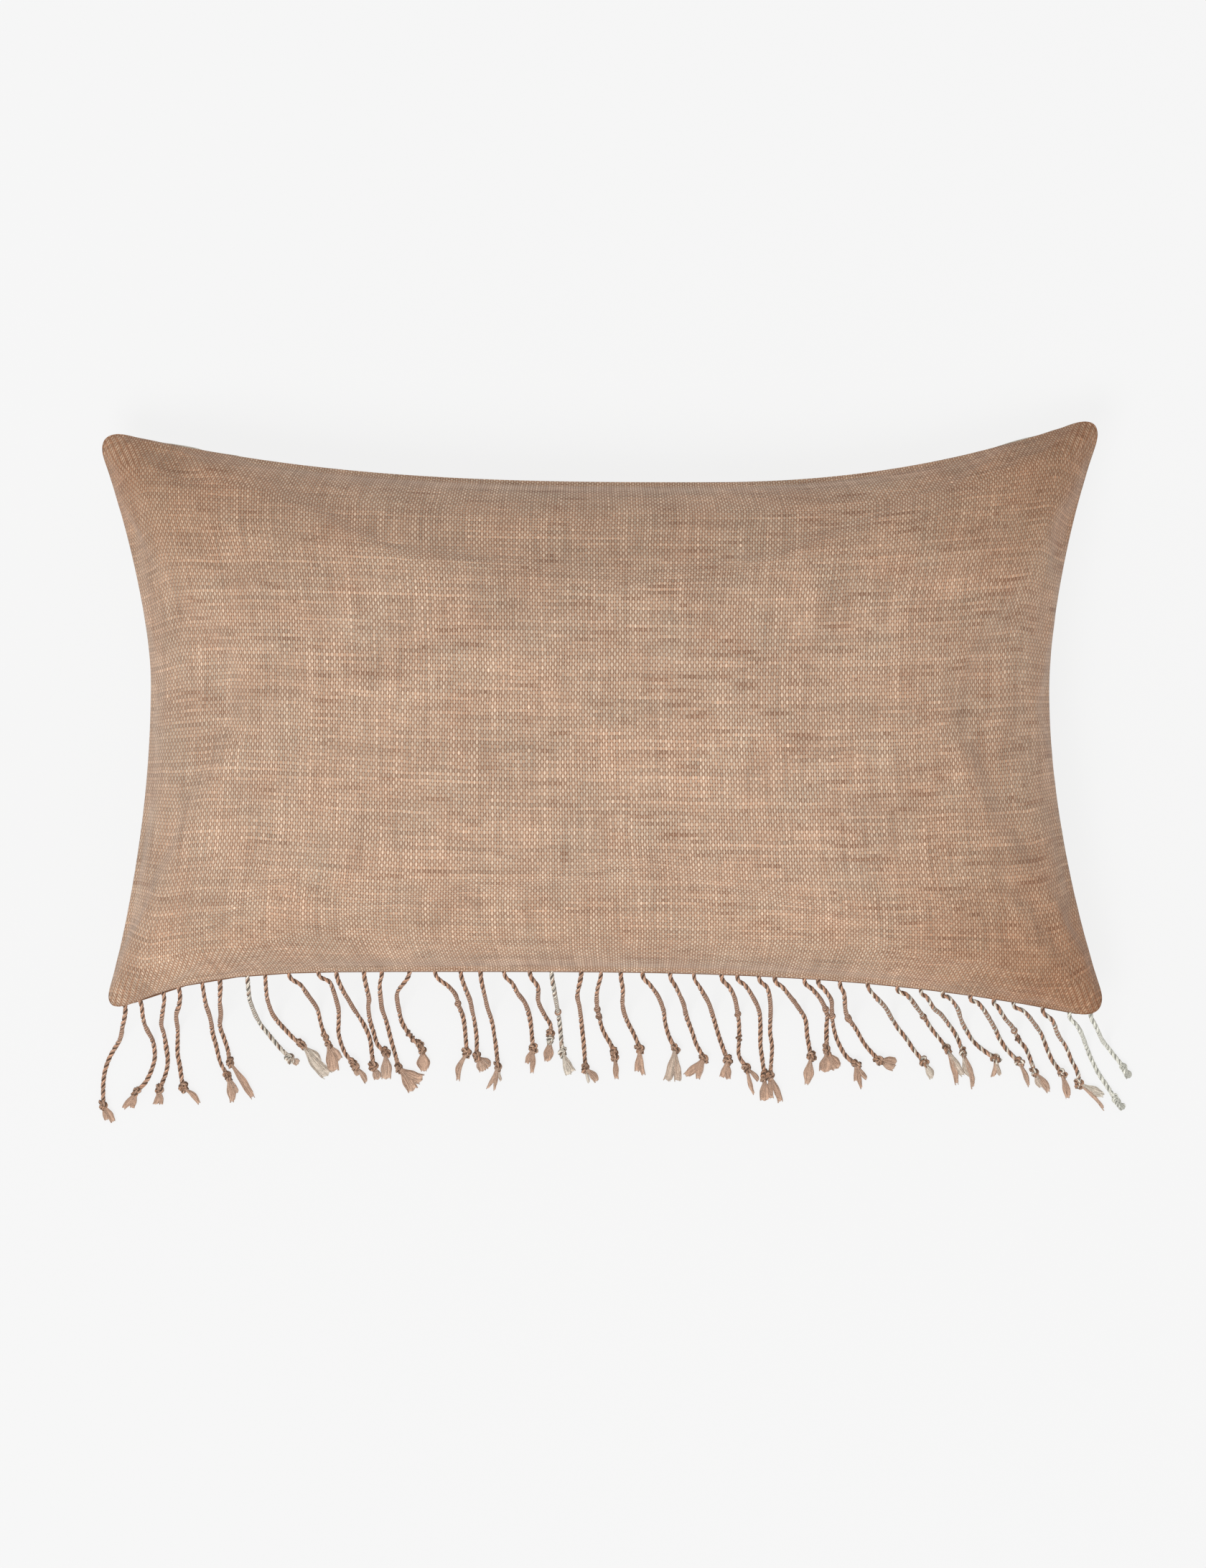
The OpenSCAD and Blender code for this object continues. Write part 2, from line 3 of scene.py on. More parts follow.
import bpy
import numpy as np
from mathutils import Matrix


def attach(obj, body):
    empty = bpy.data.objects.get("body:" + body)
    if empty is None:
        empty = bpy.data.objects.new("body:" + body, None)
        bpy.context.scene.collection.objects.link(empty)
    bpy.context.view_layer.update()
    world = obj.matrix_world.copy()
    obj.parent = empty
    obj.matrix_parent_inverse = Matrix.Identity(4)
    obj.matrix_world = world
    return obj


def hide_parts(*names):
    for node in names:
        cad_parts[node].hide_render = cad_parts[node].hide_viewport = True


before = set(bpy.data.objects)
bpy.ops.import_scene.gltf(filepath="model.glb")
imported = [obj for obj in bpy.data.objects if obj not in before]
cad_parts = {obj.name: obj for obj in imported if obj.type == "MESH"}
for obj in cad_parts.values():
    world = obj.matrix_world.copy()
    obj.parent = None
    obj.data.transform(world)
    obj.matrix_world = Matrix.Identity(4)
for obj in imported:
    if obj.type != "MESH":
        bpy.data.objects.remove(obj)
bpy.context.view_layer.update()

# Lumbar throw pillow lying on its back, with a knotted cord fringe along its bottom seam.
# Metres. X runs along the long seams, Y points to the top seam, Z up from the resting face.

MM = 0.001

# ---- Measures, as in the CAD ----

HALF_L = 257 * MM
HALF_H = 153 * MM
TOP_WAIST = 121 * MM
BOTTOM_WAIST = 127 * MM
LEFT_WAIST = 229 * MM
RIGHT_WAIST = 226 * MM
CORNER_R = 18 * MM
SEAM_H = 48 * MM
CORNER_DROP = 14 * MM
FRONT_CROWN = 74 * MM
BACK_CROWN = 56 * MM
ALLOWANCE = 7.5 * MM
CORD_D = 2.2 * MM
CORD_R = CORD_D / 2
DROP_R = 10 * MM
FALL_ANGLE = math.radians(72)
BEND_L = DROP_R * FALL_ANGLE
KNOT_R = 2.6 * MM
KNOT_GAP = 0.15 * MM
HEADER_T = 1.2 * MM
HEADER_LIP = 0.2 * MM
# The tape fills the seam below this v
TAPE_V = -0.93
REST_GAP = 0.05 * MM
STRAIGHT_RUN = 2.5 * MM
EXIT_PULL = 20 * MM
ZIP_L = 340 * MM
ZIP_R = 1300 * MM
ZIP_X = 2 * MM
ZIP_Z = SEAM_H - 8 * MM
ZIP_INSET = 6.6 * MM
ZIP_LOW = 5 * MM
COIL_T = 1.8 * MM
COIL_HIGH = 2.4 * MM
STOP_L = 2.5 * MM

# Each edge: distance at its low corner, at its high corner and at the waist, where along the
# edge the waist lies from -1 to 1, and how sharply it rises to the low and the high corner.
EDGE_RIGHT = (HALF_L + 2 * MM, HALF_L, RIGHT_WAIST, 0.1, 1.9, 1.75)
EDGE_LEFT = (HALF_L - 1 * MM, HALF_L + 3 * MM, LEFT_WAIST, 0.14, 2.05, 1.6)
EDGE_TOP = (HALF_H - 3 * MM, HALF_H + 5 * MM, TOP_WAIST, 0.2, 2.85, 2.2)
EDGE_BOTTOM = (HALF_H, HALF_H, BOTTOM_WAIST, -0.27, 4.7, 3.05)

# How square the crown is along u and along v
CROWN_U = 2.6
CROWN_V = 2.2
# The rounded corner's share of u and of v, on a panel of about 500 by 300 mm
CORNER_U = CORNER_R / 0.25
CORNER_V = CORNER_R / 0.15

# Threads of the handwoven cloth: distance between warps and between wefts
WARP_PITCH = 1.29 * MM
WEFT_PITCH = 1.78 * MM

# Every cord from the left, in millimetres as the CAD has it: where it leaves the seam along X,
# then the X of each place that it passes on the surface and how far below the middle it is, the
# last of them its knot. Then its tufts: their tip's X, how far below the middle it is, the
# tuft's width, and in tenths how open its end is, how pale it is and how much it bends.
CORDS = (
    (-243, (-246, 159, -254, 173, -257, 184, -257, 197), (-252, 206, 3.4, 8, 0, 1),
     (-255, 205, 3, 7, 0.5, -1)),
    (-235, (-234, 150, -233, 158, -231, 167, -231, 175, -235, 185, -240, 190),
     (-247, 199, 3.4, 5, 0, 1), (-242, 199, 3.6, 6, 0, -1)),
    (-223, (-224, 149, -226, 156, -225, 166, -224, 174, -225, 181, -228, 189),
     (-231, 197, 3, 4, 0, 2), (-227, 197, 3.2, 5, 0, -1)),
    (-215, (-215, 144, -218, 152, -219, 169, -218, 176, -216, 188), (-208, 197, 3.2, 5, 0, 2.5)),
    (-203, (-201, 149, -201, 159, -199, 167, -197, 175, -193, 182), (-191, 196, 4.6, 4, 0.5, 1),
     (-188, 191, 4.8, 6, 1, -2)),
    (-194, (-195, 148, -197, 156, -195, 163, -193, 169, -192, 175), (-180, 194, 4.2, 6, 0, 0.5)),
    (-180, (-179, 144, -177, 154, -172, 161, -167, 167, -161, 173), (-157, 176, 4, 8, 2, 1)),
    (-171, (-170, 146, -168, 153, -163, 159, -159, 163, -155, 166), (-146, 176, 5.5, 8, 8, 1.5),
     (-141, 182, 6, 10, 7.5, -1)),
    (-159, (-153, 134, -150, 140, -147, 147, -145, 156, -142, 164), (-139, 180, 6.5, 9, 0.5, 1),
     (-136, 174, 6.5, 9, 1, -1)),
    (-144, (-138, 133, -136, 145, -136, 154, -136, 161, -133, 170, -128, 176),
     (-122, 186, 3, 5, 1, 2), (-126, 182, 3, 7, 1, -2)),
    (-135, (-130, 141, -127, 149, -123, 156, -120, 163, -119, 170, -118, 177),
     (-116, 184, 5, 7, 1, 1)),
    (-121, (-119, 140, -120, 146, -120, 153, -118, 160, -116, 166, -112, 170),
     (-112, 184, 6, 8, 1.5, 1)),
    (-112, (-113, 133, -113, 140, -113, 148, -111, 156, -109, 164, -107, 171, -105, 178),
     (-98, 190, 6.5, 9, 0.5, 1), (-93, 184, 6, 10, 0.5, -1.5)),
    (-98, (-104, 137, -105, 143, -104, 153, -101, 159, -97, 164, -93, 167),
     (-92, 180, 7.4, 3, 0, 0)),
    (-85, (-78, 135, -75, 140, -74, 146, -72, 152, -71, 159, -70, 170),
     (-74, 185, 3.2, 4, 0.5, -2.5)),
    (-72, (-68, 141, -67, 149, -66, 155, -65, 163, -65, 172), (-62, 180, 6, 4, 1, 2),
     (-58, 177, 5.6, 6, 1, -1)),
    (-62, (-60, 140, -59, 147, -57, 155, -56, 161, -55, 168, -54, 177), (-60, 189, 2.2, 6, 1, 1),
     (-56, 190, 2, 6, 1, 0), (-52, 185, 1.6, 4, 5, -2)),
    (-50, (-46, 133, -43, 139, -40, 144, -38, 151, -37, 157, -36, 168), (-37, 181, 3.2, 5, 0, 1),
     (-39, 176, 3.4, 4, 0, -1)),
    (-37, (-33, 135, -33, 143, -30, 151, -27, 156, -27, 162), (-29, 175, 5.4, 4, 0, 1)),
    (-26, (-25, 135, -24, 142, -23, 150, -22, 158, -21, 170), (-18, 182, 4, 8, 8.5, 1),
     (-15, 180, 3.6, 8, 7.5, -1)),
    (-11, (-13, 139, -12, 146, -11, 156, -10, 165, -9, 178), (-3, 185, 4.4, 6, 1, 1.5),
     (-7, 186, 1.6, 4, 8.5, -1)),
    (-1, (-3, 137, -3, 146, -1, 156, 1, 161, 4, 166, 6, 171), (7, 184, 3.2, 6, 0, 0)),
    (9, (10, 136, 10, 145, 12, 153, 16, 161, 19, 168), (17, 180, 3.4, 6, 0, 1),
     (21, 182, 3.4, 5, 0, -1)),
    (20, (24, 134, 28, 140, 31, 148, 32, 155, 34, 162, 37, 168), (33, 185, 4.6, 10, 4.5, 0.5),
     (39, 185, 4.6, 10, 4, -0.5)),
    (34, (37, 135, 41, 144, 43, 152, 46, 160, 48, 166, 52, 173), (42, 182, 4.4, 6, 0, 1),
     (49, 184, 3.6, 5, 0, -1)),
    (46, (49, 135, 54, 144, 57, 153, 60, 163, 64, 174), (61, 183, 3.8, 6, 0, 1),
     (65, 184, 3.8, 5, 0, -1)),
    (60, (64, 135, 67, 141, 69, 149, 70, 156, 70, 164, 70, 172, 74, 178), (80, 185, 2.8, 5, 0.5, 1),
     (78, 192, 2.4, 5, 0, -1)),
    (68, (72, 134, 76, 140, 80, 148, 81, 156, 81, 166, 82, 174, 83, 182),
     (83, 195, 5.6, 9, 0, 0.5)),
    (79, (83, 135, 85, 142, 86, 150, 86, 160, 87, 168, 86, 182), (91, 196, 3.6, 7, 0, 1),
     (87, 194, 3.4, 7, 0, -1)),
    (87, (91, 135, 95, 140, 99, 145, 104, 153, 105, 161, 106, 167, 107, 172),
     (105, 187, 5.8, 3, 0.5, 0)),
    (102, (106, 136, 111, 142, 115, 150, 115, 157, 115, 164, 115, 169), (114, 180, 7, 8, 0, 1),
     (121, 178, 7, 7, 0, -1)),
    (109, (112, 136, 116, 142, 117, 148, 118, 154, 119, 159, 121, 165, 125, 172, 130, 176),
     (130, 185, 3, 5, 0, 1), (133, 189, 2.6, 5, 0, 0), (136, 184, 2.6, 5, 0.5, -1)),
    (120, (122, 138, 123, 145, 125, 151, 130, 158, 134, 165, 138, 170, 142, 174),
     (151, 175, 4.2, 10, 0.5, 1), (150, 178, 3.6, 9, 0.5, -2)),
    (134, (144, 146, 148, 152, 152, 158, 156, 163, 160, 169, 165, 175), (169, 184, 4.4, 3, 7.5, 2)),
    (149, (154, 139, 160, 146, 165, 152, 169, 158, 173, 163, 177, 168), (182, 187, 3.6, 4, 0, 1),
     (186, 182, 5, 4, 7, -1)),
    (161, (164, 140, 168, 146, 173, 150, 178, 156, 182, 162, 185, 170), (190, 189, 2.8, 5, 1, 1.5),
     (192, 184, 5, 2, 6.5, -2.5)),
    (172, (175, 140, 180, 146, 183, 152, 187, 159, 191, 165, 197, 170, 202, 173),
     (200, 183, 2.4, 5, 1, 2), (205, 182, 2.2, 5, 5, -2)),
    (186, (190, 143, 195, 149, 201, 157, 204, 163, 208, 169, 214, 175), (219, 188, 2.6, 5, 1, 1)),
    (198, (200, 145, 204, 151, 210, 157, 214, 164, 218, 169, 222, 180), (229, 191, 4.2, 4, 1, 2),
     (226, 188, 3.6, 4, 5, -2)),
    (208, (213, 147, 219, 153, 225, 160, 228, 167, 231, 174, 236, 181), (239, 194, 4.2, 5, 0.5, 1)),
    (223, (228, 152, 232, 159, 238, 167, 241, 174, 244, 180, 245, 186), (258, 192, 5.6, 4, 9, -1),
     (258, 200, 2, 5, 1, 1)),
    (237, (241, 155, 247, 164, 251, 173, 255, 181, 259, 187, 264, 195), (268, 199, 4.4, 9, 6, 0)),
    (248, (250, 154, 254, 161, 260, 168, 264, 173, 268, 178), (271, 183, 4.2, 9, 6, 0)),
)


def rise(t, edge):
    """How far out an edge lies at each place t along it, from -1 to 1."""
    low, high, waist, at, low_power, high_power = edge
    t = np.asarray(t, float)
    down = np.clip((at - t) / (1 + at), 0, None)
    up = np.clip((t - at) / (1 - at), 0, None)
    return waist + np.where(
        t < at, (low - waist) * down**low_power, (high - waist) * up**high_power
    )


def plan(u, v):
    """A point of the panel, u and v from -1 to 1, at its place in the plan."""
    x = u * np.where(u > 0, rise(v, EDGE_RIGHT), rise(v, EDGE_LEFT))
    y = v * np.where(v > 0, rise(u, EDGE_TOP), rise(u, EDGE_BOTTOM))
    return x, y


def smooth(x):
    """0 to 1 on a soft step."""
    x = np.clip(x, 0, 1)
    return x * x * (3 - 2 * x)


def seam_z(u, v):
    """The seam's height, lower towards the corners."""
    near = np.clip((abs(u) - 0.76) / 0.24, 0, 1) * np.clip((abs(v) - 0.4) / 0.6, 0, 1)
    return SEAM_H - CORNER_DROP * smooth(near)


def bulge(u, v):
    """The crown's share of its full height."""
    return np.sqrt(np.clip((1 - abs(u) ** CROWN_U) * (1 - abs(v) ** CROWN_V), 0, None))


# ---- Camera: straight above, as the photograph ----

VIEW_H = 2.86
VIEW_Y = -0.032
VIEW_WIDTH = 0.6209


def add_object(name, data):
    """A new object in the scene."""
    thing = bpy.data.objects.new(name, data)
    bpy.context.scene.collection.objects.link(thing)
    return thing


lens = bpy.data.cameras.new("camera")
lens.sensor_fit = "HORIZONTAL"
lens.angle = 2 * math.atan(VIEW_WIDTH / 2 / VIEW_H)
camera = add_object("camera", lens)
camera.location = (0, VIEW_Y, VIEW_H)
bpy.context.scene.camera = camera
bpy.context.scene.view_settings.view_transform = "Standard"

# ---- Meshes ----


def add_mesh(name, points, faces, material, attributes=()):
    """A smooth mesh from rows of points and faces; attributes are (name, one row per point)."""
    mesh = bpy.data.meshes.new(name)
    faces = [f for block in faces for f in np.asarray(block).tolist()]
    mesh.from_pydata(np.asarray(points, float).tolist(), [], faces)
    for label, values in attributes:
        values = np.asarray(values, float)
        kind = "FLOAT" if values.ndim == 1 else "FLOAT_VECTOR"
        layer = mesh.attributes.new(label, kind, "POINT")
        layer.data.foreach_set("value" if kind == "FLOAT" else "vector", values.ravel())
    mesh.polygons.foreach_set("use_smooth", [True] * len(mesh.polygons))
    mesh.validate()
    piece = add_object(name, mesh)
    mesh.materials.append(material)
    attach(piece, "root")
    return piece


def bake_modifiers(piece):
    """Applies the piece's modifiers to its mesh."""
    graph = bpy.context.evaluated_depsgraph_get()
    mesh = bpy.data.meshes.new_from_object(
        piece.evaluated_get(graph), preserve_all_data_layers=True, depsgraph=graph
    )
    piece.modifiers.clear()
    piece.data = mesh


def unit(v):
    return v / np.maximum(np.linalg.norm(v, axis=-1, keepdims=True), 1e-12)


def run_along(line):
    """How far along the line each of its points lies."""
    return np.concatenate([[0], np.cumsum(np.linalg.norm(np.diff(line, axis=0), axis=1))])


def points_at(at, run, line):
    return np.stack([np.interp(at, run, line[:, k]) for k in range(3)], 1)


def resample(points, step):
    """The same line at an even step, and how far along it each point lies."""
    points = np.asarray(points, float)
    run = run_along(points)
    at = np.linspace(0, run[-1], max(2, round(run[-1] / step) + 1))
    return points_at(at, run, points), at


def through(points, samples):
    """Smooth curve through every point but the first and the last."""
    p = np.asarray(points, float)
    t = np.arange(samples)[:, None] / samples
    parts = [
        0.5 * (2 * b + (c - a) * t + (2 * a - 5 * b + 4 * c - d) * t**2
               + (3 * b - a - 3 * c + d) * t**3)
        for a, b, c, d in zip(p[:-3], p[1:-2], p[2:-1], p[3:])
    ]
    return np.concatenate(parts + [p[-2:-1]])


def frames_along(line):
    """Tangent and two square directions at each point, without twist."""
    tangent = unit(np.gradient(line, axis=0))
    side = np.empty_like(line)
    seed = np.array([0, 0, 1.0]) if abs(tangent[0][2]) < 0.8 else np.array([1.0, 0, 0])
    side[0] = unit(np.cross(tangent[0], seed))
    for i in range(1, len(line)):
        s = side[i - 1] - tangent[i] * np.dot(side[i - 1], tangent[i])
        side[i] = s / max(np.linalg.norm(s), 1e-9)
    return tangent, side, np.cross(tangent, side)


# No strand goes lower than this above the resting surface
LOWEST = 0.02 * MM


class Tubes:
    """Closed strands gathered into one mesh."""

    def __init__(self):
        self.points, self.faces, self.tone, self.yarn, self.count = [], [], [], [], 0

    def add(self, line, radius, sides=8, tone=0.0, mark=0.0, across=None):
        """One strand. radius is a number or row, or a pair of them for an oval section whose
        directions are the pair across; tone is one value, or one for each side."""
        line = np.asarray(line, float)
        n = len(line)
        pair = radius if isinstance(radius, tuple) else (radius, radius)
        wide, high = (np.broadcast_to(r, (n,))[:, None, None] for r in pair)
        tangent, a, b = frames_along(line)
        if across is not None:
            a, b = across
        turn = np.arange(sides) / sides * 2 * math.pi
        skin = (line[:, None] + wide * a[:, None] * np.cos(turn)[None, :, None]
                + high * b[:, None] * np.sin(turn)[None, :, None])
        ends = np.stack([line[0] - tangent[0] * wide[0, 0] * 0.5,
                         line[-1] + tangent[-1] * wide[-1, 0] * 0.5])
        start = self.count
        i = start + np.arange(n - 1)[:, None] * sides
        k = np.arange(sides)[None]
        q = (k + 1) % sides
        self.faces.append(np.stack(
            [i + k, i + q, i + sides + q, i + sides + k], -1).reshape(-1, 4))
        k, q = k[0], q[0]
        first, last = start + n * sides, start + n * sides + 1
        self.faces.append(np.stack([np.full(sides, first), start + q, start + k], -1))
        top = start + (n - 1) * sides
        self.faces.append(np.stack([np.full(sides, last), top + k, top + q], -1))
        self.points.append(np.concatenate([skin.reshape(-1, 3), ends]))
        run = run_along(line)
        mark_at = np.stack(np.broadcast_arrays(
            run[:, None], (turn / 2 / math.pi)[None], mark), -1).reshape(-1, 3)
        self.yarn.append(np.concatenate([mark_at, [mark_at[0], mark_at[-1]]]))
        tones = np.broadcast_to(tone, (n, sides)).ravel()
        self.tone.append(np.concatenate([tones, [tones[0], tones[-1]]]))
        self.count += n * sides + 2

    def piece(self, name, material):
        points = np.concatenate(self.points)
        points[:, 2] = np.maximum(points[:, 2], LOWEST)
        return add_mesh(name, points, self.faces, material, (
            ("tone", np.concatenate(self.tone)), ("yarn", np.concatenate(self.yarn))))


# ---- Cords: their routes, which repeat the CAD's ----


def corner(side, degrees):
    """A station on the arc of a bottom corner, side -1 the left one."""
    a = math.radians(degrees)
    return side * (1 - CORNER_U) + CORNER_U * math.cos(a), CORNER_V * math.sin(a) - (1 - CORNER_V)


def header_stations():
    """The bottom edge's stations on the panel's rim, from the left corner to the right one."""
    reach = 1 - CORNER_U
    steps = 18
    run = [(-reach + 2 * reach * k / steps, -1) for k in range(steps + 1)]
    return np.array([corner(-1, 240), *run, corner(1, 300), corner(1, 330)])


header_rim = header_stations()
header_line = np.stack(plan(header_rim[:, 0], header_rim[:, 1]), 1)
header_z = seam_z(header_rim[:, 0], header_rim[:, 1])


def outside(distance):
    """The bottom seam's line moved outwards."""
    padded = np.pad(header_line, ((1, 1), (0, 0)), "edge")
    along = unit(padded[2:] - padded[:-2])
    return header_line + distance * np.stack([along[:, 1], -along[:, 0]], 1)


# The cords leave the tape this far past its lip
EXIT_GAP = 0.35 * MM
exit_line = outside(HEADER_LIP + EXIT_GAP)


def exit_y(x):
    return np.interp(x, exit_line[:, 0], exit_line[:, 1])


def exit_z(x):
    return np.interp(x, exit_line[:, 0], header_z - HEADER_T / 2)


def cord_places(cord):
    return np.reshape(cord[1], (-1, 2)) * (MM, -MM)


def cord_plan(cord):
    """The cord's way in the plan: square out of the seam, then through its places."""
    root = cord[0] * MM
    way = cord_places(cord)
    start = np.array([root, exit_y(root)])
    along = unit(np.array([2 * MM, exit_y(root + MM) - exit_y(root - MM)]))
    outward = np.array([along[1], -along[0]])
    points = [way[0] - EXIT_PULL * outward, start, *way, 2 * way[-1] - way[-2]]
    return through(points, 6)


def fall_length(top, low):
    """How long the straight slope is between the bend at the seam and the one that lands."""
    return (top - low - 2 * DROP_R * (1 - math.cos(FALL_ANGLE))) / math.sin(FALL_ANGLE)


def fall_profile(t, top, low):
    """The route seen from the side: how far along the surface, and how high, by length."""
    fall = fall_length(top, low)
    t1 = STRAIGHT_RUN
    t2 = t1 + BEND_L
    t3 = t2 + fall
    t4 = t3 + BEND_L
    reach = DROP_R * math.sin(FALL_ANGLE)
    drop = DROP_R * (1 - math.cos(FALL_ANGLE))
    slope = t1 + reach + fall * math.cos(FALL_ANGLE)
    if t < t1:
        return t, top
    if t < t2:
        g = (t - t1) / DROP_R
        return t1 + DROP_R * math.sin(g), top - DROP_R * (1 - math.cos(g))
    if t < t3:
        s = t - t2
        return t1 + reach + s * math.cos(FALL_ANGLE), top - drop - s * math.sin(FALL_ANGLE)
    if t < t4:
        g = FALL_ANGLE - (t - t3) / DROP_R
        return slope + reach - DROP_R * math.sin(g), low + DROP_R * (1 - math.cos(g))
    return slope + reach + t - t4, low


def cord_route(cord):
    """The cord's middle line from the seam to its knot, which lifts it a little."""
    flat = cord_plan(cord)
    runs = run_along(flat)
    total = runs[-1]
    top = float(exit_z(cord[0] * MM))
    low = CORD_R + REST_GAP
    landed = STRAIGHT_RUN + 2 * BEND_L + fall_length(top, low)
    length = landed + total - KNOT_R - KNOT_GAP - fall_profile(landed, top, low)[0]
    route = []
    for t in np.linspace(0, length, round(length / (1 * MM)) + 1):
        at, z = fall_profile(t, top, low)
        lift = (KNOT_R - CORD_R) * smooth((at - total + 10 * MM) / (7 * MM))
        route.append((np.interp(at, runs, flat[:, 0]), np.interp(at, runs, flat[:, 1]), z + lift))
    return np.array(route)


# ---- Materials ----


class Look:
    """A procedural material under construction."""

    def __init__(self, name):
        self.material = bpy.data.materials.new(name)
        self.material.use_nodes = True
        self.tree = self.material.node_tree
        self.shader = self.tree.nodes["Principled BSDF"]

    def node(self, kind, settings=(), **inputs):
        """A new node; an input is given by its name, or as i0, i1 and so on by its place."""
        node = self.tree.nodes.new(kind)
        for key, value in dict(settings).items():
            setattr(node, key, value)
        for key, value in inputs.items():
            socket = node.inputs[int(key[1:])] if key[1:].isdigit() else next(
                s for s in node.inputs if s.name == key and s.enabled)
            self.put(socket, value)
        return node

    def put(self, socket, value):
        if isinstance(value, bpy.types.NodeSocket):
            self.tree.links.new(value, socket)
        elif value is not None:
            if socket.type == "RGBA" and len(value) == 3:
                value = (*value, 1)
            socket.default_value = value

    def math(self, operation, a, b=None, c=None, clamp=False):
        node = self.node("ShaderNodeMath", {"operation": operation, "use_clamp": clamp})
        for socket, value in zip(node.inputs, (a, b, c)):
            self.put(socket, value)
        return node.outputs[0]

    def plus(self, a, b):
        return self.math("ADD", a, b)

    def minus(self, a, b):
        return self.math("SUBTRACT", a, b)

    def times(self, a, b):
        return self.math("MULTIPLY", a, b)

    def affine(self, value, slope, offset):
        return self.math("MULTIPLY_ADD", value, slope, offset)

    def attribute(self, name, output="Fac"):
        return self.node("ShaderNodeAttribute", {"attribute_name": name}).outputs[output]

    def split(self, vector):
        return self.node("ShaderNodeSeparateXYZ", Vector=vector).outputs

    def join(self, x=0.0, y=0.0, z=0.0):
        return self.node("ShaderNodeCombineXYZ", X=x, Y=y, Z=z).outputs[0]

    def noise(self, vector, scale, detail=2.0, roughness=0.5):
        node = self.node("ShaderNodeTexNoise", Vector=vector, Scale=scale, Detail=detail,
                         Roughness=roughness)
        return node.outputs["Fac"]

    def random(self, vector):
        return self.node("ShaderNodeTexWhiteNoise", Vector=vector).outputs["Value"]

    def scale(self, vector, by):
        node = self.node("ShaderNodeVectorMath", {"operation": "MULTIPLY"}, i0=vector, i1=by)
        return node.outputs[0]

    def mix(self, factor, a, b, blend="MIX"):
        node = self.node("ShaderNodeMix", {"data_type": "RGBA", "blend_type": blend},
                         Factor=factor, A=a, B=b)
        return next(s for s in node.outputs if s.enabled)

    def remap(self, value, low, high, to_low=0.0, to_high=1.0):
        node = self.node("ShaderNodeMapRange", {"clamp": True}, i0=value, i1=low, i2=high,
                         i3=to_low, i4=to_high)
        return node.outputs[0]

    def shade(self, colour, factor):
        """The colour times a number."""
        grey = self.node("ShaderNodeCombineColor", Red=factor, Green=factor, Blue=factor)
        return self.mix(1.0, colour, grey.outputs[0], "MULTIPLY")

    def bump(self, height, distance, strength=1.0):
        node = self.node("ShaderNodeBump", Height=height, Distance=distance, Strength=strength)
        self.put(self.shader.inputs["Normal"], node.outputs[0])

    def finish(self, colour, roughness, sheen=0.0, specular=0.3, metallic=0.0):
        for name, value in (
            ("Base Color", colour), ("Roughness", roughness), ("Sheen Weight", sheen),
            ("Sheen Roughness", 0.4), ("Specular IOR Level", specular), ("Metallic", metallic),
        ):
            self.put(self.shader.inputs[name], value)
        return self.material


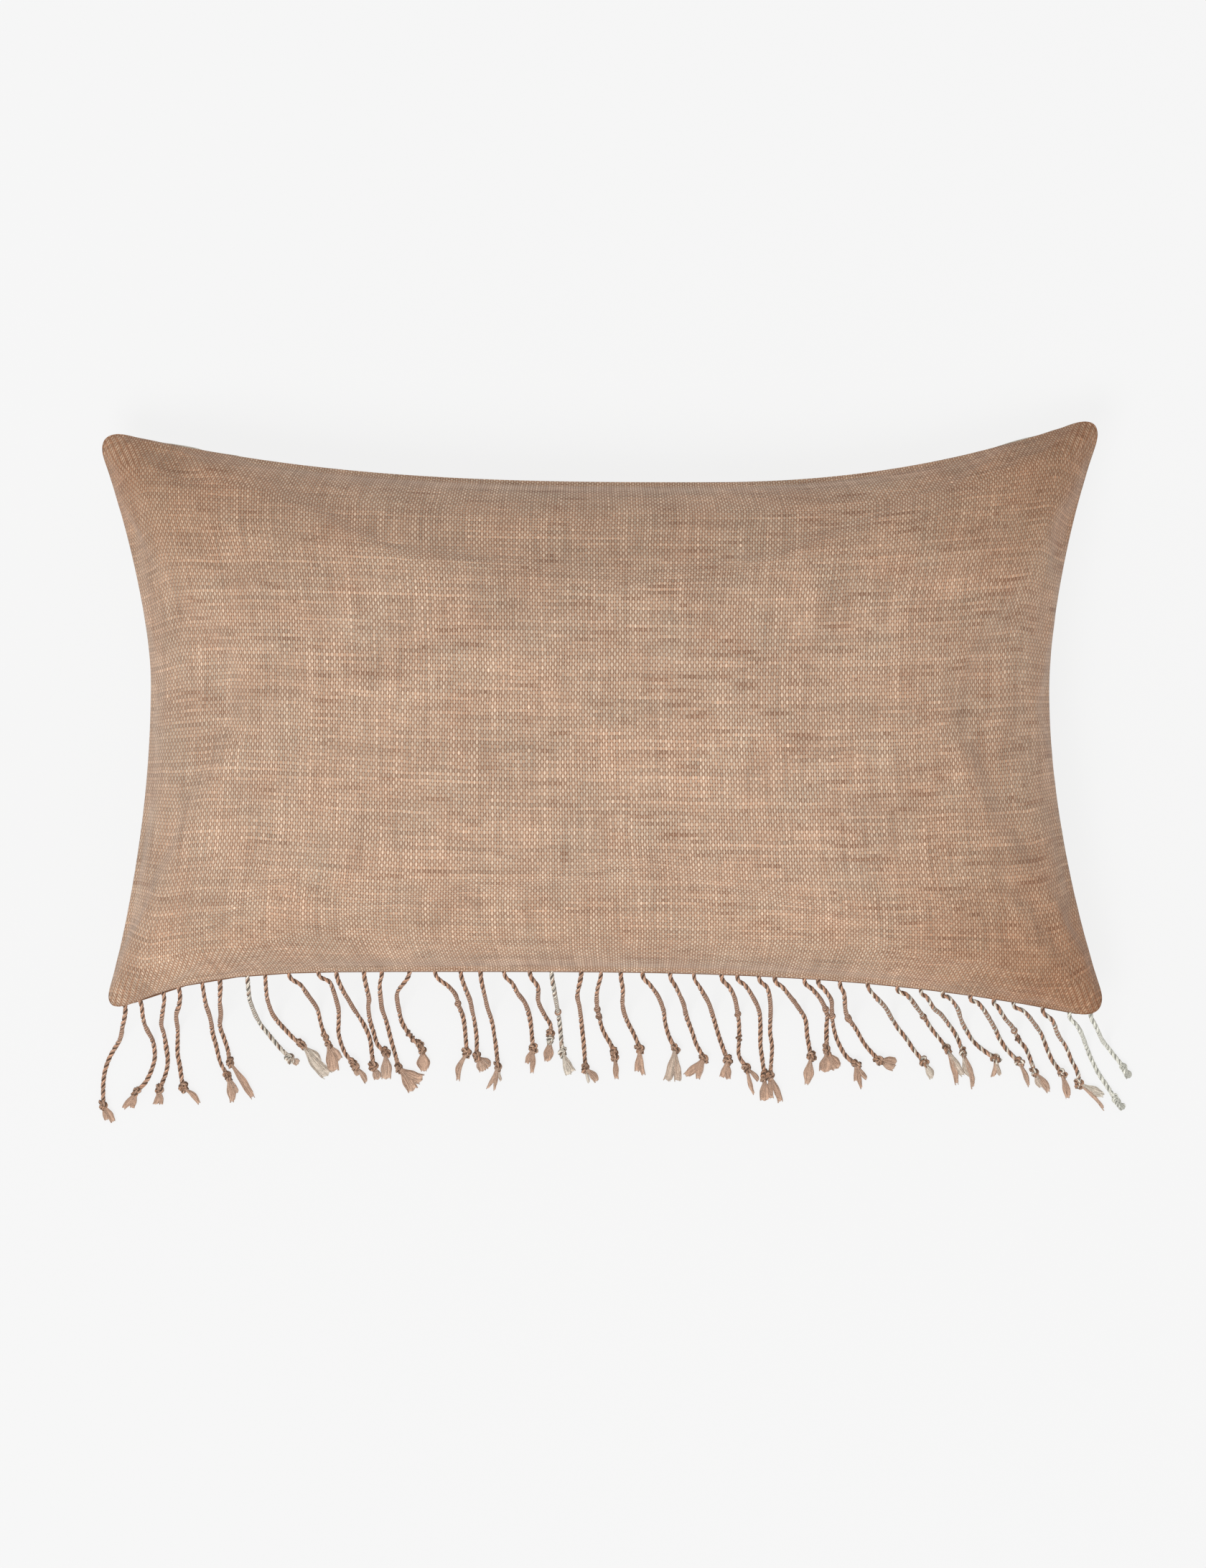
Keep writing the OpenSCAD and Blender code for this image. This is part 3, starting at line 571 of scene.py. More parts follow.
def woven(name, warp, weft, gap_shade, pitch, streak_tone, slub=1.0, banding=1.0, sheen=0.2):
    """Plain weave from the cut's own coordinates, with uneven threads, slubs and banding, painted
    shade in the gaps and down the sides of the threads, and painted shade over the panel.
    """
    look = Look(name)
    noise, remap, shade, mix = look.noise, look.remap, look.shade, look.mix
    plus, minus, times, affine = look.plus, look.minus, look.times, look.affine
    cut = look.attribute("cut", "Vector")
    cx, cy, _ = look.split(cut)
    drift_x = affine(noise(cut, 45, 2), 1.0, -0.5)
    drift_y = affine(noise(look.scale(cut, (-1, 1, 1)), 60, 2), 0.8, -0.4)
    x = plus(look.math("DIVIDE", cx, pitch[0]), drift_x)
    y = plus(look.math("DIVIDE", cy, pitch[1]), drift_y)
    ix = look.math("FLOOR", x)
    iy = look.math("FLOOR", y)
    fx = minus(look.math("FRACT", x), 0.5)
    fy = minus(look.math("FRACT", y), 0.5)

    def of_row(stretch, seed):
        """Noise coordinates that run on along one weft; a small stretch gives long marks."""
        return look.join(times(cx, stretch), iy, seed)

    def of_column(stretch, seed):
        return look.join(ix, times(cy, stretch), seed)

    # Slubs: stretches of one weft that are thin and dark, long ones and short ones
    long_slub = noise(of_row(38, 21.0), 0.97, 1)
    short_slub = minus(noise(of_row(130, 33.0), 0.93, 1), 0.05)
    streak = plus(look.math("MAXIMUM", long_slub, short_slub), times(cx, 0.14))
    streak = remap(streak, 0.63, 0.78)

    # How thick each thread is here, as a share of the pitch
    warp_w = affine(noise(of_column(90, 3.0), 0.9, 2), 0.6, 0.42)
    weft_w = affine(noise(of_row(60, 7.0), 0.9, 3, 0.6), 0.6 * slub, 0.86 - 0.3 * slub)
    weft_w = times(weft_w, affine(streak, -0.22 * slub, 1.0))

    def crest(f, width):
        """The round top of a thread, from 1 on its middle to 0 at its edge."""
        r = look.math("DIVIDE", f, times(width, 0.5))
        return look.math("SQRT", look.math("SUBTRACT", 1.0, times(r, r), clamp=True))

    def over(run, index, rise_by):
        """How far a thread rises or dives here, and so which of the two lies on top."""
        turn = plus(minus(run, 0.5), index)
        return times(look.math("COSINE", times(turn, math.pi)), rise_by)

    def thread(f, width, lift):
        round_top = crest(f, width)
        height = plus(times(round_top, 0.8), lift)
        return minus(height, look.math("LESS_THAN", round_top, 0.02))

    warp_h = thread(fx, warp_w, over(y, ix, 0.45))
    weft_h = thread(fy, weft_w, over(x, iy, -0.45))
    height = look.math("MAXIMUM", look.math("MAXIMUM", warp_h, weft_h), -0.5)
    is_warp = remap(minus(warp_h, weft_h), -0.06, 0.06)

    # Tones: thread by thread, then row by row, then the slubs
    tone_warp = remap(noise(of_column(30, 0.0), 0.8, 2), 0.3, 0.7, 0.76, 1.24)
    tone_weft = remap(noise(of_row(60, 0.0), 0.9, 2, 0.6), 0.3, 0.7, 1.18, 0.8)
    tone_weft = times(tone_weft, affine(streak, -0.3 * slub, 1.0))
    colour = mix(is_warp, shade(weft, tone_weft), shade(warp, tone_warp))
    row = noise(of_row(14, 51.0), 0.9, 1)
    colour = shade(colour, remap(row, 0.3, 0.7, 1 - 0.1 * slub, 1 + 0.1 * slub))
    colour = mix(times(streak, 0.42 * slub), colour, streak_tone)

    # Fibres and specks
    fibre = noise(look.scale(cut, (1 / (0.22 * MM), 1 / (0.3 * MM), 1)), 1.0, 2)
    colour = shade(colour, remap(fibre, 0.25, 0.75, 0.84, 1.16))
    speck = look.math("GREATER_THAN", look.random(look.join(ix, iy, 9.0)), 0.996)
    colour = shade(colour, affine(speck, 0.25 * slub, 1.0))

    # Slow bands both ways, patches and a tint that comes and goes; then painted shade from the
    # panel's attribute, darker and more saturated where it is low
    band_x = noise(look.join(times(cx, 30), 0.0, 0.0), 3.0, 3, 0.65)
    band_y = noise(look.join(0.0, times(cy, 30), 5.0), 3.0, 3, 0.65)
    patch = times(noise(cut, 24, 4, 0.65), 2.0)
    slow = plus(plus(band_x, band_y), patch)
    colour = shade(colour, remap(slow, 1.4, 2.6, 1 - 0.16 * banding, 1 + 0.16 * banding))
    tint = remap(noise(look.scale(cut, (1, 1, 4)), 34, 3, 0.6), 0.36, 0.64)
    tint = mix(tint, (0.985, 1.01, 1.01), (1.02, 0.985, 0.96))
    colour = mix(1.0, colour, tint, "MULTIPLY")
    dye = look.attribute("dye")
    depth = look.node("ShaderNodeCombineColor", Red=dye, Green=look.math("POWER", dye, 1.6),
                      Blue=look.math("POWER", dye, 2.1))
    colour = mix(1.0, colour, depth.outputs[0], "MULTIPLY")
    # Painted shade: the gaps between threads and the low sides of each thread fade to the dark gap
    # colour
    colour = mix(remap(height, -0.2, 0.95), gap_shade, colour)
    look.bump(height, 0.3 * MM, 0.45)
    return look.finish(colour, 0.92, sheen, 0.12)


def yarn(name, low, high, deep=0.5):
    """Twisted yarn between two tones, with fibres that wind round it, painted shade in the grooves
    between the plies and a painted highlight on each ply's outer side.
    """
    look = Look(name)
    tone = look.attribute("tone")
    run, turn, mark = look.split(look.attribute("yarn", "Vector"))
    wind = look.plus(look.math("DIVIDE", run, 3.1 * MM), look.times(turn, 3))
    strand = look.affine(look.math("COSINE", look.times(wind, 2 * math.pi)), 0.5, 0.5)
    place = look.node("ShaderNodeTexCoord").outputs["Object"]
    fuzz = look.noise(place, 1300, 3, 0.7)
    slow = look.noise(look.join(look.times(run, 90), mark, 0.0), 1.7, 2)
    colour = look.mix(tone, low, high)
    colour = look.shade(colour, look.remap(slow, 0.3, 0.7, 0.84, 1.16))
    # Stripes of fibres winding round each ply: the yarn's own texture, with painted shade between
    # the fibres
    colour = look.shade(colour, look.remap(strand, 0, 1, 1 - 0.3 * deep, 1 + 0.12 * deep))
    # Painted shade on one side of each strand's section, the inner side of each ply where the plies
    # meet, and a painted highlight on the opposite side
    crest = look.math("COSINE", look.times(turn, 2 * math.pi))
    colour = look.shade(colour, look.remap(crest, -0.1, 0.9, 1 - 0.68 * deep, 1 + 0.2 * deep))
    colour = look.shade(colour, look.remap(fuzz, 0.3, 0.7, 0.8, 1.2))
    height = look.plus(look.times(strand, 0.7), fuzz)
    look.bump(height, 0.12 * MM, 0.6)
    return look.finish(colour, 0.9, 0.2, 0.12)


# Yarns' tones: a yarn runs from its first colour to its second by its piece's tone; the number
# after them sets the strength of its painted shade and highlight
BROWN = (0.56, 0.325, 0.215)
BLUSH = (0.60, 0.40, 0.29)
PALE = (0.76, 0.70, 0.60)

# Each cloth's fourth colour is the painted shade in the gaps between its threads
front_cloth = woven("handwoven_cloth", (0.585, 0.465, 0.36), (0.44, 0.278, 0.188),
                    (0.15, 0.053, 0.026), (WARP_PITCH, WEFT_PITCH), (0.32, 0.16, 0.092))
back_cloth = woven("undyed_cloth", (0.66, 0.62, 0.54), (0.60, 0.55, 0.47), (0.3, 0.26, 0.2),
                   (0.9 * MM, 0.9 * MM), (0.4, 0.36, 0.29), slub=0.5, banding=0.4, sheen=0.1)
cord_yarn = yarn("cord_yarn", BROWN, PALE, 1.0)
undyed_yarn = yarn("undyed_yarn", (0.72, 0.71, 0.62), (0.8, 0.79, 0.7), 0.6)
tassel_yarn = yarn("tassel_yarn", BLUSH, PALE, 0.25)
knot_yarn = yarn("knot_yarn", (0.44, 0.26, 0.17), PALE, 0.9)


def plain(name, colour, rough=0.8, scale=900, depth=0.1 * MM, metallic=0.0):
    """A fine-grained finish for small trim."""
    look = Look(name)
    place = look.node("ShaderNodeTexCoord").outputs["Object"]
    grain = look.noise(place, scale, 3, 0.6)
    tint = look.shade(colour, look.remap(grain, 0.3, 0.7, 0.88, 1.1))
    look.bump(grain, depth, 0.5)
    roughness = look.remap(grain, 0.2, 0.8, rough - 0.08, rough + 0.08)
    return look.finish(tint, roughness, metallic=metallic)


header_tape = plain("header_tape", (0.22, 0.11, 0.06))
tape_cloth = plain("zip_tape", (0.72, 0.68, 0.6))
coil_nylon = plain("zip_coil", (0.7, 0.66, 0.58), 0.35, 1500, 0.02 * MM)
zip_metal = plain("zip_metal", (0.55, 0.54, 0.52), 0.35, 2500, 0.01 * MM, metallic=1.0)
satin = plain("label_satin", (0.85, 0.84, 0.8), 0.45, 2000, 0.03 * MM)
casing_cloth = plain("insert_casing", (0.8, 0.79, 0.76), 0.85)
fibre_fill = plain("fibre_fill", (0.86, 0.86, 0.85), 0.95)
sewing_thread = plain("sewing_thread", (0.7, 0.6, 0.5), 0.7)

# ---- Cords ----

LAY = 7.0 * MM
FIRST_MIXED = 34
FIRST_UNDYED = 42
PALE_CORDS = (7, 20)
PLY_SIDES = 12


def ply_tones(number):
    """For each ply, the tone round its section: 0 is the yarn's low colour and 1 its high one."""
    half = np.arange(PLY_SIDES) < PLY_SIDES // 2
    if number >= FIRST_UNDYED:
        return 0.3, 0.9
    if number in PALE_CORDS:
        return 0.95, np.where(half, 0.9, 0.25)
    if number >= FIRST_MIXED:
        return 0.0, np.where(half, 0.95, 0.1)
    return 0.0, 0.1


def plies(tubes, line, number, radius=CORD_R, lay=LAY, phase=0.0):
    """Two soft plies twisted round each other along a line, each pressed flat by the other."""
    line, run = resample(line, 0.5 * MM)
    _, a, b = frames_along(line)
    rng = np.random.default_rng(number)
    count = max(2, round(run[-1] / (6 * MM)))
    uneven = 1 + 0.06 * np.interp(run, np.linspace(0, run[-1], count), rng.normal(size=count))
    for k, tone in enumerate(ply_tones(number)):
        turn = (2 * math.pi * run / lay + phase + k * math.pi)[:, None]
        out = a * np.cos(turn) + b * np.sin(turn)
        side = b * np.cos(turn) - a * np.sin(turn)
        centre = line + 0.5 * radius * uneven[:, None] * out
        tubes.add(centre, (0.55 * radius * uneven, 0.84 * radius * uneven), PLY_SIDES, tone,
                  number + 0.5 * k, (out, side))


# Kinks where a cord's twist doubles back on itself: cord, and how far before its knot
SNARLS = {14: (7, 3), 15: (30,), 20: (24,), 22: (20, 32), 27: (14, 28), 31: (26,), 32: (30,),
          33: (34, 31), 35: (20,), 39: (17, 25)}


def snarl(tubes, line, before, number):
    """One ply wrapped once more round the cord."""
    count = 26
    run = run_along(line)
    at = run[-1] - before * MM + np.linspace(-1.6, 1.6, count) * MM
    centre = points_at(at, run, line)
    _, a, b = frames_along(centre)
    turn = np.linspace(0, 2.9 * math.pi, count)[:, None] + number
    orbit = CORD_R * (0.75 + 0.45 * np.sin(np.linspace(0, math.pi, count)))[:, None]
    loop = centre + orbit * (a * np.cos(turn) + b * np.sin(turn))
    loop[:, 2] = np.maximum(loop[:, 2], 0.7 * MM)
    tubes.add(loop, 0.6 * MM, 8, 0.08, number + 0.3)


routes = [cord_route(cord) for cord in CORDS]
cord_pieces = []
for number, route in enumerate(routes, 1):
    tubes = Tubes()
    root = route[0] + (route[0] - route[1]) * 2.2
    plies(tubes, np.concatenate([[root], route]), number, phase=number * 1.7)
    for before in SNARLS.get(number, ()):
        snarl(tubes, route, before, number)
    undyed = number >= FIRST_UNDYED
    piece = tubes.piece(f"cord_{number:02d}", undyed_yarn if undyed else cord_yarn)
    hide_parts(f"fringe_cord_{number:02d}")
    cord_pieces.append(piece)

# ---- Knots and tassels ----

# Knots tied twice: cord, and how far apart its two lumps lie
DOUBLE_KNOTS = {8: 2.0, 9: 4.4, 10: 3.0, 14: 3.6, 19: 3.2, 22: 3.0, 28: 2.2, 31: 2.2, 42: 2.4}

KNOT_YARN_R = 1.05 * MM


def knot(tubes, centre, heading, number, lead, size=1.0):
    """An overhand knot that starts from the end of lead, about a centre."""
    t = np.linspace(-1.9, 1.9, 30)
    curve = size * MM * np.stack(
        [0.7 * (t**3 - 3 * t), 0.86 * (t**4 - 4 * t * t) + 1.6, 0.58 * (t**5 / 5 - 2 * t)], 1)
    axis = unit(np.array([0.7 * 9, 0, 0.58 * 14]))
    local = np.stack([curve @ axis, curve[:, 1], curve @ np.cross(axis, [0, 1, 0])], 1)
    roll = 0.9 * math.sin(number * 2.3)
    flip = 1 if number % 2 else -1
    side = np.array([-heading[1], heading[0], 0]) * flip
    up = np.array([0, 0, 1.0])
    across = side * math.cos(roll) + up * math.sin(roll)
    over = up * math.cos(roll) - side * math.sin(roll)
    body = centre + local @ np.stack([heading, across, over])
    path = np.concatenate([lead, body, [centre + heading * 3.1 * MM * size]])
    path[:, 2] = np.maximum(path[:, 2], KNOT_YARN_R + 0.1 * MM)
    guard = 2 * path[0] - path[1]
    line = through(np.concatenate([[guard], path, [2 * path[-1] - path[-2]]]), 3)
    plies(tubes, line, number, KNOT_YARN_R, 5.5 * MM, number)


def tuft(tubes, start, tip, width, opening, pale, bend, rng):
    """Loose fibres from a knot to the surface, gathered in a few soft strands."""
    flat = tip - start
    length = np.linalg.norm(flat)
    ahead = flat / length
    side = np.array([-ahead[1], ahead[0]])
    s = np.linspace(0, 1, 15)
    curve = bend * length * np.sin(math.pi * s * 0.9) * 0.5
    middle = start + s[:, None] * flat + curve[:, None] * side
    height = (2.3 - 1.0 * smooth(s)) * MM
    half = MM * (0.7 + (width / 2 - 0.7) * smooth(s / 0.6))
    half = half * (1 - (1 - opening) * 0.75 * smooth((s - 0.55) / 0.45))
    thick = MM * (1.15 - 0.25 * s) * (1 - 0.35 * (1 - opening) * smooth((s - 0.7) / 0.3))
    core = np.concatenate([middle, height[:, None]], 1)[:-1]
    wide = np.tile(np.append(side, 0), (14, 1))
    tall = np.tile([0, 0, 1.0], (14, 1))
    tubes.add(core, (0.82 * half[:-1], 0.72 * thick[:-1]), 12, pale, 0.0, (wide, tall))
    clumps = max(3, round(width * 1.1))
    for _ in range(round(12 + 10 * width)):
        clump = rng.integers(clumps)
        q = (clump + 0.5) / clumps * 2 - 1 + rng.normal() * 0.42 / clumps
        p = rng.uniform(-1, 1) * math.sqrt(max(0, 1 - min(1, q * q)))
        reach = 0.9 + 0.09 * math.cos(clump * 2.1) + rng.uniform(-0.07, 0.05)
        at = s * reach
        wave = 0.22 * MM * at * np.sin(at * length / (1.5 * MM) + clump * 1.9 + rng.normal() * 0.3)
        offset = q * np.interp(at, s, half) + wave
        line = np.stack([np.interp(at, s, middle[:, k]) for k in (0, 1)], 1)
        line = line + offset[:, None] * side
        z = np.interp(at, s, height) + p * np.interp(at, s, thick)
        line = np.concatenate([line, np.maximum(z, 0.25 * MM)[:, None]], 1)
        tone = np.clip(pale + rng.normal() * 0.07 + 0.06 * math.sin(clump * 2.7), 0, 1)
        tubes.add(line, np.linspace(0.2, 0.11, 15) * MM, 5, tone, rng.uniform(0, 50))


end_pieces = []
for number, (cord, route) in enumerate(zip(CORDS, routes), 1):
    rng = np.random.default_rng(500 + number)
    at = np.append(cord_places(cord)[-1], KNOT_R)
    tufts = cord[2:]
    heading = unit((at - route[-3]) * [1, 1, 0])
    tubes = Tubes()
    lead = route[-3:]
    spread = DOUBLE_KNOTS.get(number, 0) * MM
    tips_middle = np.mean([tuft_row[:2] for tuft_row in tufts], axis=0) * (MM, -MM)
    away = unit(np.append(tips_middle - at[:2], 0))
    if spread:
        knot(tubes, at - heading * spread / 2, heading, number, lead, 0.82)
        lead = at[None] - heading * spread / 4
        knot(tubes, at + away * spread / 2, away, number + 1, lead, 0.82)
    else:
        knot(tubes, at, heading, number, lead)
    undyed = number >= FIRST_UNDYED
    knot_piece = tubes.piece(f"knot_{number:02d}", undyed_yarn if undyed else knot_yarn)
    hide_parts("fringe_knots")
    tubes = Tubes()
    for x, below, width, *shares in tufts:
        opening, pale, bend = (share / 10 for share in shares)
        tip = np.array([x, -below]) * MM
        out = unit(tip - at[:2])
        tuft(tubes, at[:2] + out * (1.2 * MM + spread / 3), tip, width, opening, pale, bend, rng)
    tassel = tubes.piece(f"tassel_{number:02d}", undyed_yarn if undyed else tassel_yarn)
    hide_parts("fringe_tassels")
    end_pieces.append([knot_piece, tassel])

# ---- Cushion panels ----


def even_stations(half, crown, power, count):
    """Stations from -1 to 1 that lie evenly along the crowned surface."""
    s = np.linspace(0, 1, 4001)
    rim = np.sqrt(np.clip(1 - s**power, 0, None))
    run = np.concatenate([[0], np.cumsum(np.hypot(np.diff(s) * half, np.diff(rim) * crown))])
    half_row = np.interp(np.linspace(0, run[-1], count // 2 + 1), run, s)
    return np.concatenate([-half_row[:0:-1], half_row])


GRID_U = 132
GRID_V = 80
MEAN_HALF_L = 0.228
MEAN_HALF_H = 0.124


def panel_grid():
    """u and v of the panel's grid, with the corners rounded as they are cut."""
    u = even_stations(MEAN_HALF_L, FRONT_CROWN, CROWN_U, GRID_U)
    v = even_stations(MEAN_HALF_H, FRONT_CROWN, CROWN_V, GRID_V)
    u, v = np.meshgrid(u, v, indexing="ij")
    a = np.clip((abs(u) - 1 + CORNER_U) / CORNER_U, 0, None)
    b = np.clip((abs(v) - 1 + CORNER_V) / CORNER_V, 0, None)
    round_a = a * np.sqrt(np.clip(1 - b * b / 2, 0, None))
    round_b = b * np.sqrt(np.clip(1 - a * a / 2, 0, None))
    u = np.where(a > 0, np.sign(u) * (1 - CORNER_U + CORNER_U * round_a), u)
    v = np.where(b > 0, np.sign(v) * (1 - CORNER_V + CORNER_V * round_b), v)
    return u, v


grid_u, grid_v = panel_grid()


# Soft folds and dents: their two ends in the plan, half width and depth, all in millimetres
FRONT_FOLDS = (
    (-240, 138, -186, 108, 10, 2.0), (-225, 120, -196, 76, 8, 1.2), (-205, 132, -150, 118, 5, 0.8),
    (243, 142, 192, 96, 10, 2.0), (206, 120, 213, 62, 8, 1.2), (150, 120, 215, 134, 5, 0.8),
    (211, -70, 237, -138, 7, 2.2), (243, -140, 196, -106, 9, 1.4), (150, -126, 212, -131, 3, 0.9),
    (-245, -140, -205, -112, 9, 1.8), (-233, -144, -180, -126, 5, 1.2),
    (-222, -60, -236, -120, 6, 1.0), (-100, 112, -40, 115, 6, 0.6), (20, 113, 90, 114, 5, 0.7),
    (-120, -122, -60, -120, 5, 0.7), (30, -121, 80, -122, 6, 0.8), (214, 30, 216, -30, 6, 0.9),
    (-216, 40, -214, -20, 6, 0.8),
)
BACK_FOLDS = (
    (-243, 140, -190, 105, 10, 2.2), (243, 142, 190, 100, 10, 2.2), (243, -140, 190, -100, 10, 2.2),
    (-243, -140, -190, -100, 10, 2.2), (-215, 60, -212, -50, 7, 1.4), (212, 60, 213, -60, 7, 1.4),
    (-150, 112, -60, 108, 6, 1.2), (40, 108, 150, 112, 6, 1.2), (-140, -114, -40, -110, 6, 1.2),
    (40, -110, 150, -116, 6, 1.2),
)


def folds(x, y, rows):
    """How deep the folds are at each place in the plan, in metres."""
    depth = np.zeros_like(x)
    for x0, y0, x1, y1, half, deep in rows:
        a, b = np.array([x0, y0]) * MM, np.array([x1, y1]) * MM
        along = np.clip(((x - a[0]) * (b - a)[0] + (y - a[1]) * (b - a)[1]) / np.dot(b - a, b - a),
                        0, 1)
        off = np.hypot(x - a[0] - along * (b - a)[0], y - a[1] - along * (b - a)[1]) / (half * MM)
        ends = 0.25 + 0.75 * np.sin(math.pi * along)
        # A valley with a low ridge each side of it
        depth += deep * MM * ends * (np.exp(-off**2) - 0.45 * np.exp(-((off - 2) ** 2)))
    return depth


# The zip's opening in the back panel, half its length, and the width of the hem beside it
OPENING_HALF = ZIP_L / 2 + 13.5 * MM
HEM = 3.2 * MM


def open_share(x):
    """1 where the back panel is turned back from the zip, fading out over a short way."""
    return smooth((OPENING_HALF - abs(x - ZIP_X)) / (5 * MM))


def back_grid_v():
    """The back panel's v, with its top edge drawn down to the lower side of the zip."""
    x, _ = plan(grid_u, grid_v)
    low = (SEAM_H - ZIP_Z + ZIP_LOW) / BACK_CROWN
    across = np.clip(1 - abs(grid_u) ** CROWN_U, 0.05, 1)
    edge = np.clip(1 - low**2 / across, 0, 1) ** (1 / CROWN_V)
    # The rows past this v are the ones that close up
    start = 0.6
    drawn = start + (grid_v - start) * (edge - start) / (1 - start)
    share = open_share(x)
    return np.where(grid_v > start, grid_v * (1 - share) + drawn * share, grid_v)


def panel_points(side):
    """The front panel's grid of points, or with side -1 the back's."""
    v = grid_v if side > 0 else back_grid_v()
    x, y = plan(grid_u, v)
    full = bulge(grid_u, v)
    z0 = seam_z(grid_u, v)
    fade = smooth(full / 0.35)
    if side > 0:
        return np.stack([x, y, z0 + FRONT_CROWN * full - fade * folds(x, y, FRONT_FOLDS)], -1)
    z = z0 - BACK_CROWN * full + fade * folds(x, y, BACK_FOLDS)
    return np.stack([x, y, np.maximum(0, z)], -1)


def painted_shade_factor():
    """Painted shade over the front, as a factor on its colour: darker towards three of its corners
    and the right, and a little towards the top and the bottom.
    """
    def near(u, v, reach):
        return np.exp(-(((grid_u - u) / reach) ** 2 + ((grid_v - v) / (reach * 1.7)) ** 2))
    return (1 - 0.16 * near(-1, 1, 0.3) - 0.15 * near(1, 1, 0.3) - 0.24 * near(1, -1, 0.3)
            - 0.02 * near(-1, -1, 0.25) - 0.05 * smooth((grid_u - 0.3) / 0.7)
            - 0.06 * smooth((grid_v - 0.3) / 0.7) - 0.05 * smooth((-grid_v - 0.5) / 0.5))


def cut_coordinates(points):
    """Where each point lies on the flat cloth: its way along its own row and column."""
    def along(axis):
        steps = np.linalg.norm(np.diff(points, axis=axis), axis=-1)
        run = np.cumsum(np.insert(steps, 0, 0, axis), axis)
        total = run.max(axis=axis, keepdims=True)
        middle = np.median(total)
        return (run / total - 0.5) * middle
    return np.stack([along(0), along(1), np.zeros(points.shape[:2])], -1)


def grid_faces(nu, nv, side):
    i, j = np.meshgrid(np.arange(nu - 1), np.arange(nv - 1), indexing="ij")
    a = (i * nv + j).ravel()
    return np.stack([a, a + nv, a + nv + 1, a + 1], -1)[:, ::side]


# The indices of the grid's rim, once round from the bottom left corner
index = np.arange(grid_u.size).reshape(grid_u.shape)
rim = np.concatenate([index[:, 0], index[-1, 1:], index[-2::-1, -1], index[0, -2:0:-1]])
SIM_FRAMES = 18
# The furthest that the simulation may move the cloth from its measured shape
CAP = 3 * MM


def inflate(front, back):
    """Blows the closed cover up a little, with its seam held, so that the cloth lies naturally."""
    shape = front.shape
    n = shape[0] * shape[1]
    faces = np.concatenate([grid_faces(*shape[:2], 1), n + grid_faces(*shape[:2], -1)])
    points = np.concatenate([front.reshape(-1, 3), back.reshape(-1, 3)])
    mesh = bpy.data.meshes.new("inflating")
    mesh.from_pydata(points.tolist(), [], faces.tolist())
    piece = add_object("inflating", mesh)
    scene = bpy.context.scene
    held = piece.vertex_groups.new(name="held")
    held.add(np.concatenate([rim, n + rim]).tolist(), 1.0, "REPLACE")
    cloth = piece.modifiers.new("cloth", "CLOTH").settings
    for key, value in dict(
        quality=6, mass=0.3, tension_stiffness=30, compression_stiffness=20, shear_stiffness=4,
        bending_stiffness=0.4, vertex_group_mass="held", use_pressure=True,
        uniform_pressure_force=1.5, shrink_min=-0.01,
    ).items():
        setattr(cloth, key, value)
    cloth.effector_weights.gravity = 0
    for k in range(1, SIM_FRAMES + 1):
        scene.frame_set(k)
    graph = bpy.context.evaluated_depsgraph_get()
    moved = piece.evaluated_get(graph).to_mesh()
    new = np.empty(len(moved.vertices) * 3)
    moved.vertices.foreach_get("co", new)
    new = new.reshape(-1, 3)
    scene.frame_set(1)
    bpy.data.objects.remove(piece)
    shift = new - points
    far = np.linalg.norm(shift, axis=1, keepdims=True)
    shift *= np.minimum(1, CAP / np.maximum(far, 1e-9))
    both = points + shift
    return both[:n].reshape(shape), both[n:].reshape(shape)


front_points = panel_points(1)
back_points = panel_points(-1)
cut_front = cut_coordinates(front_points)
cut_back = cut_coordinates(back_points)
front_points, back_points = inflate(front_points, back_points)
back_points[..., 2] = np.maximum(back_points[..., 2], 0)


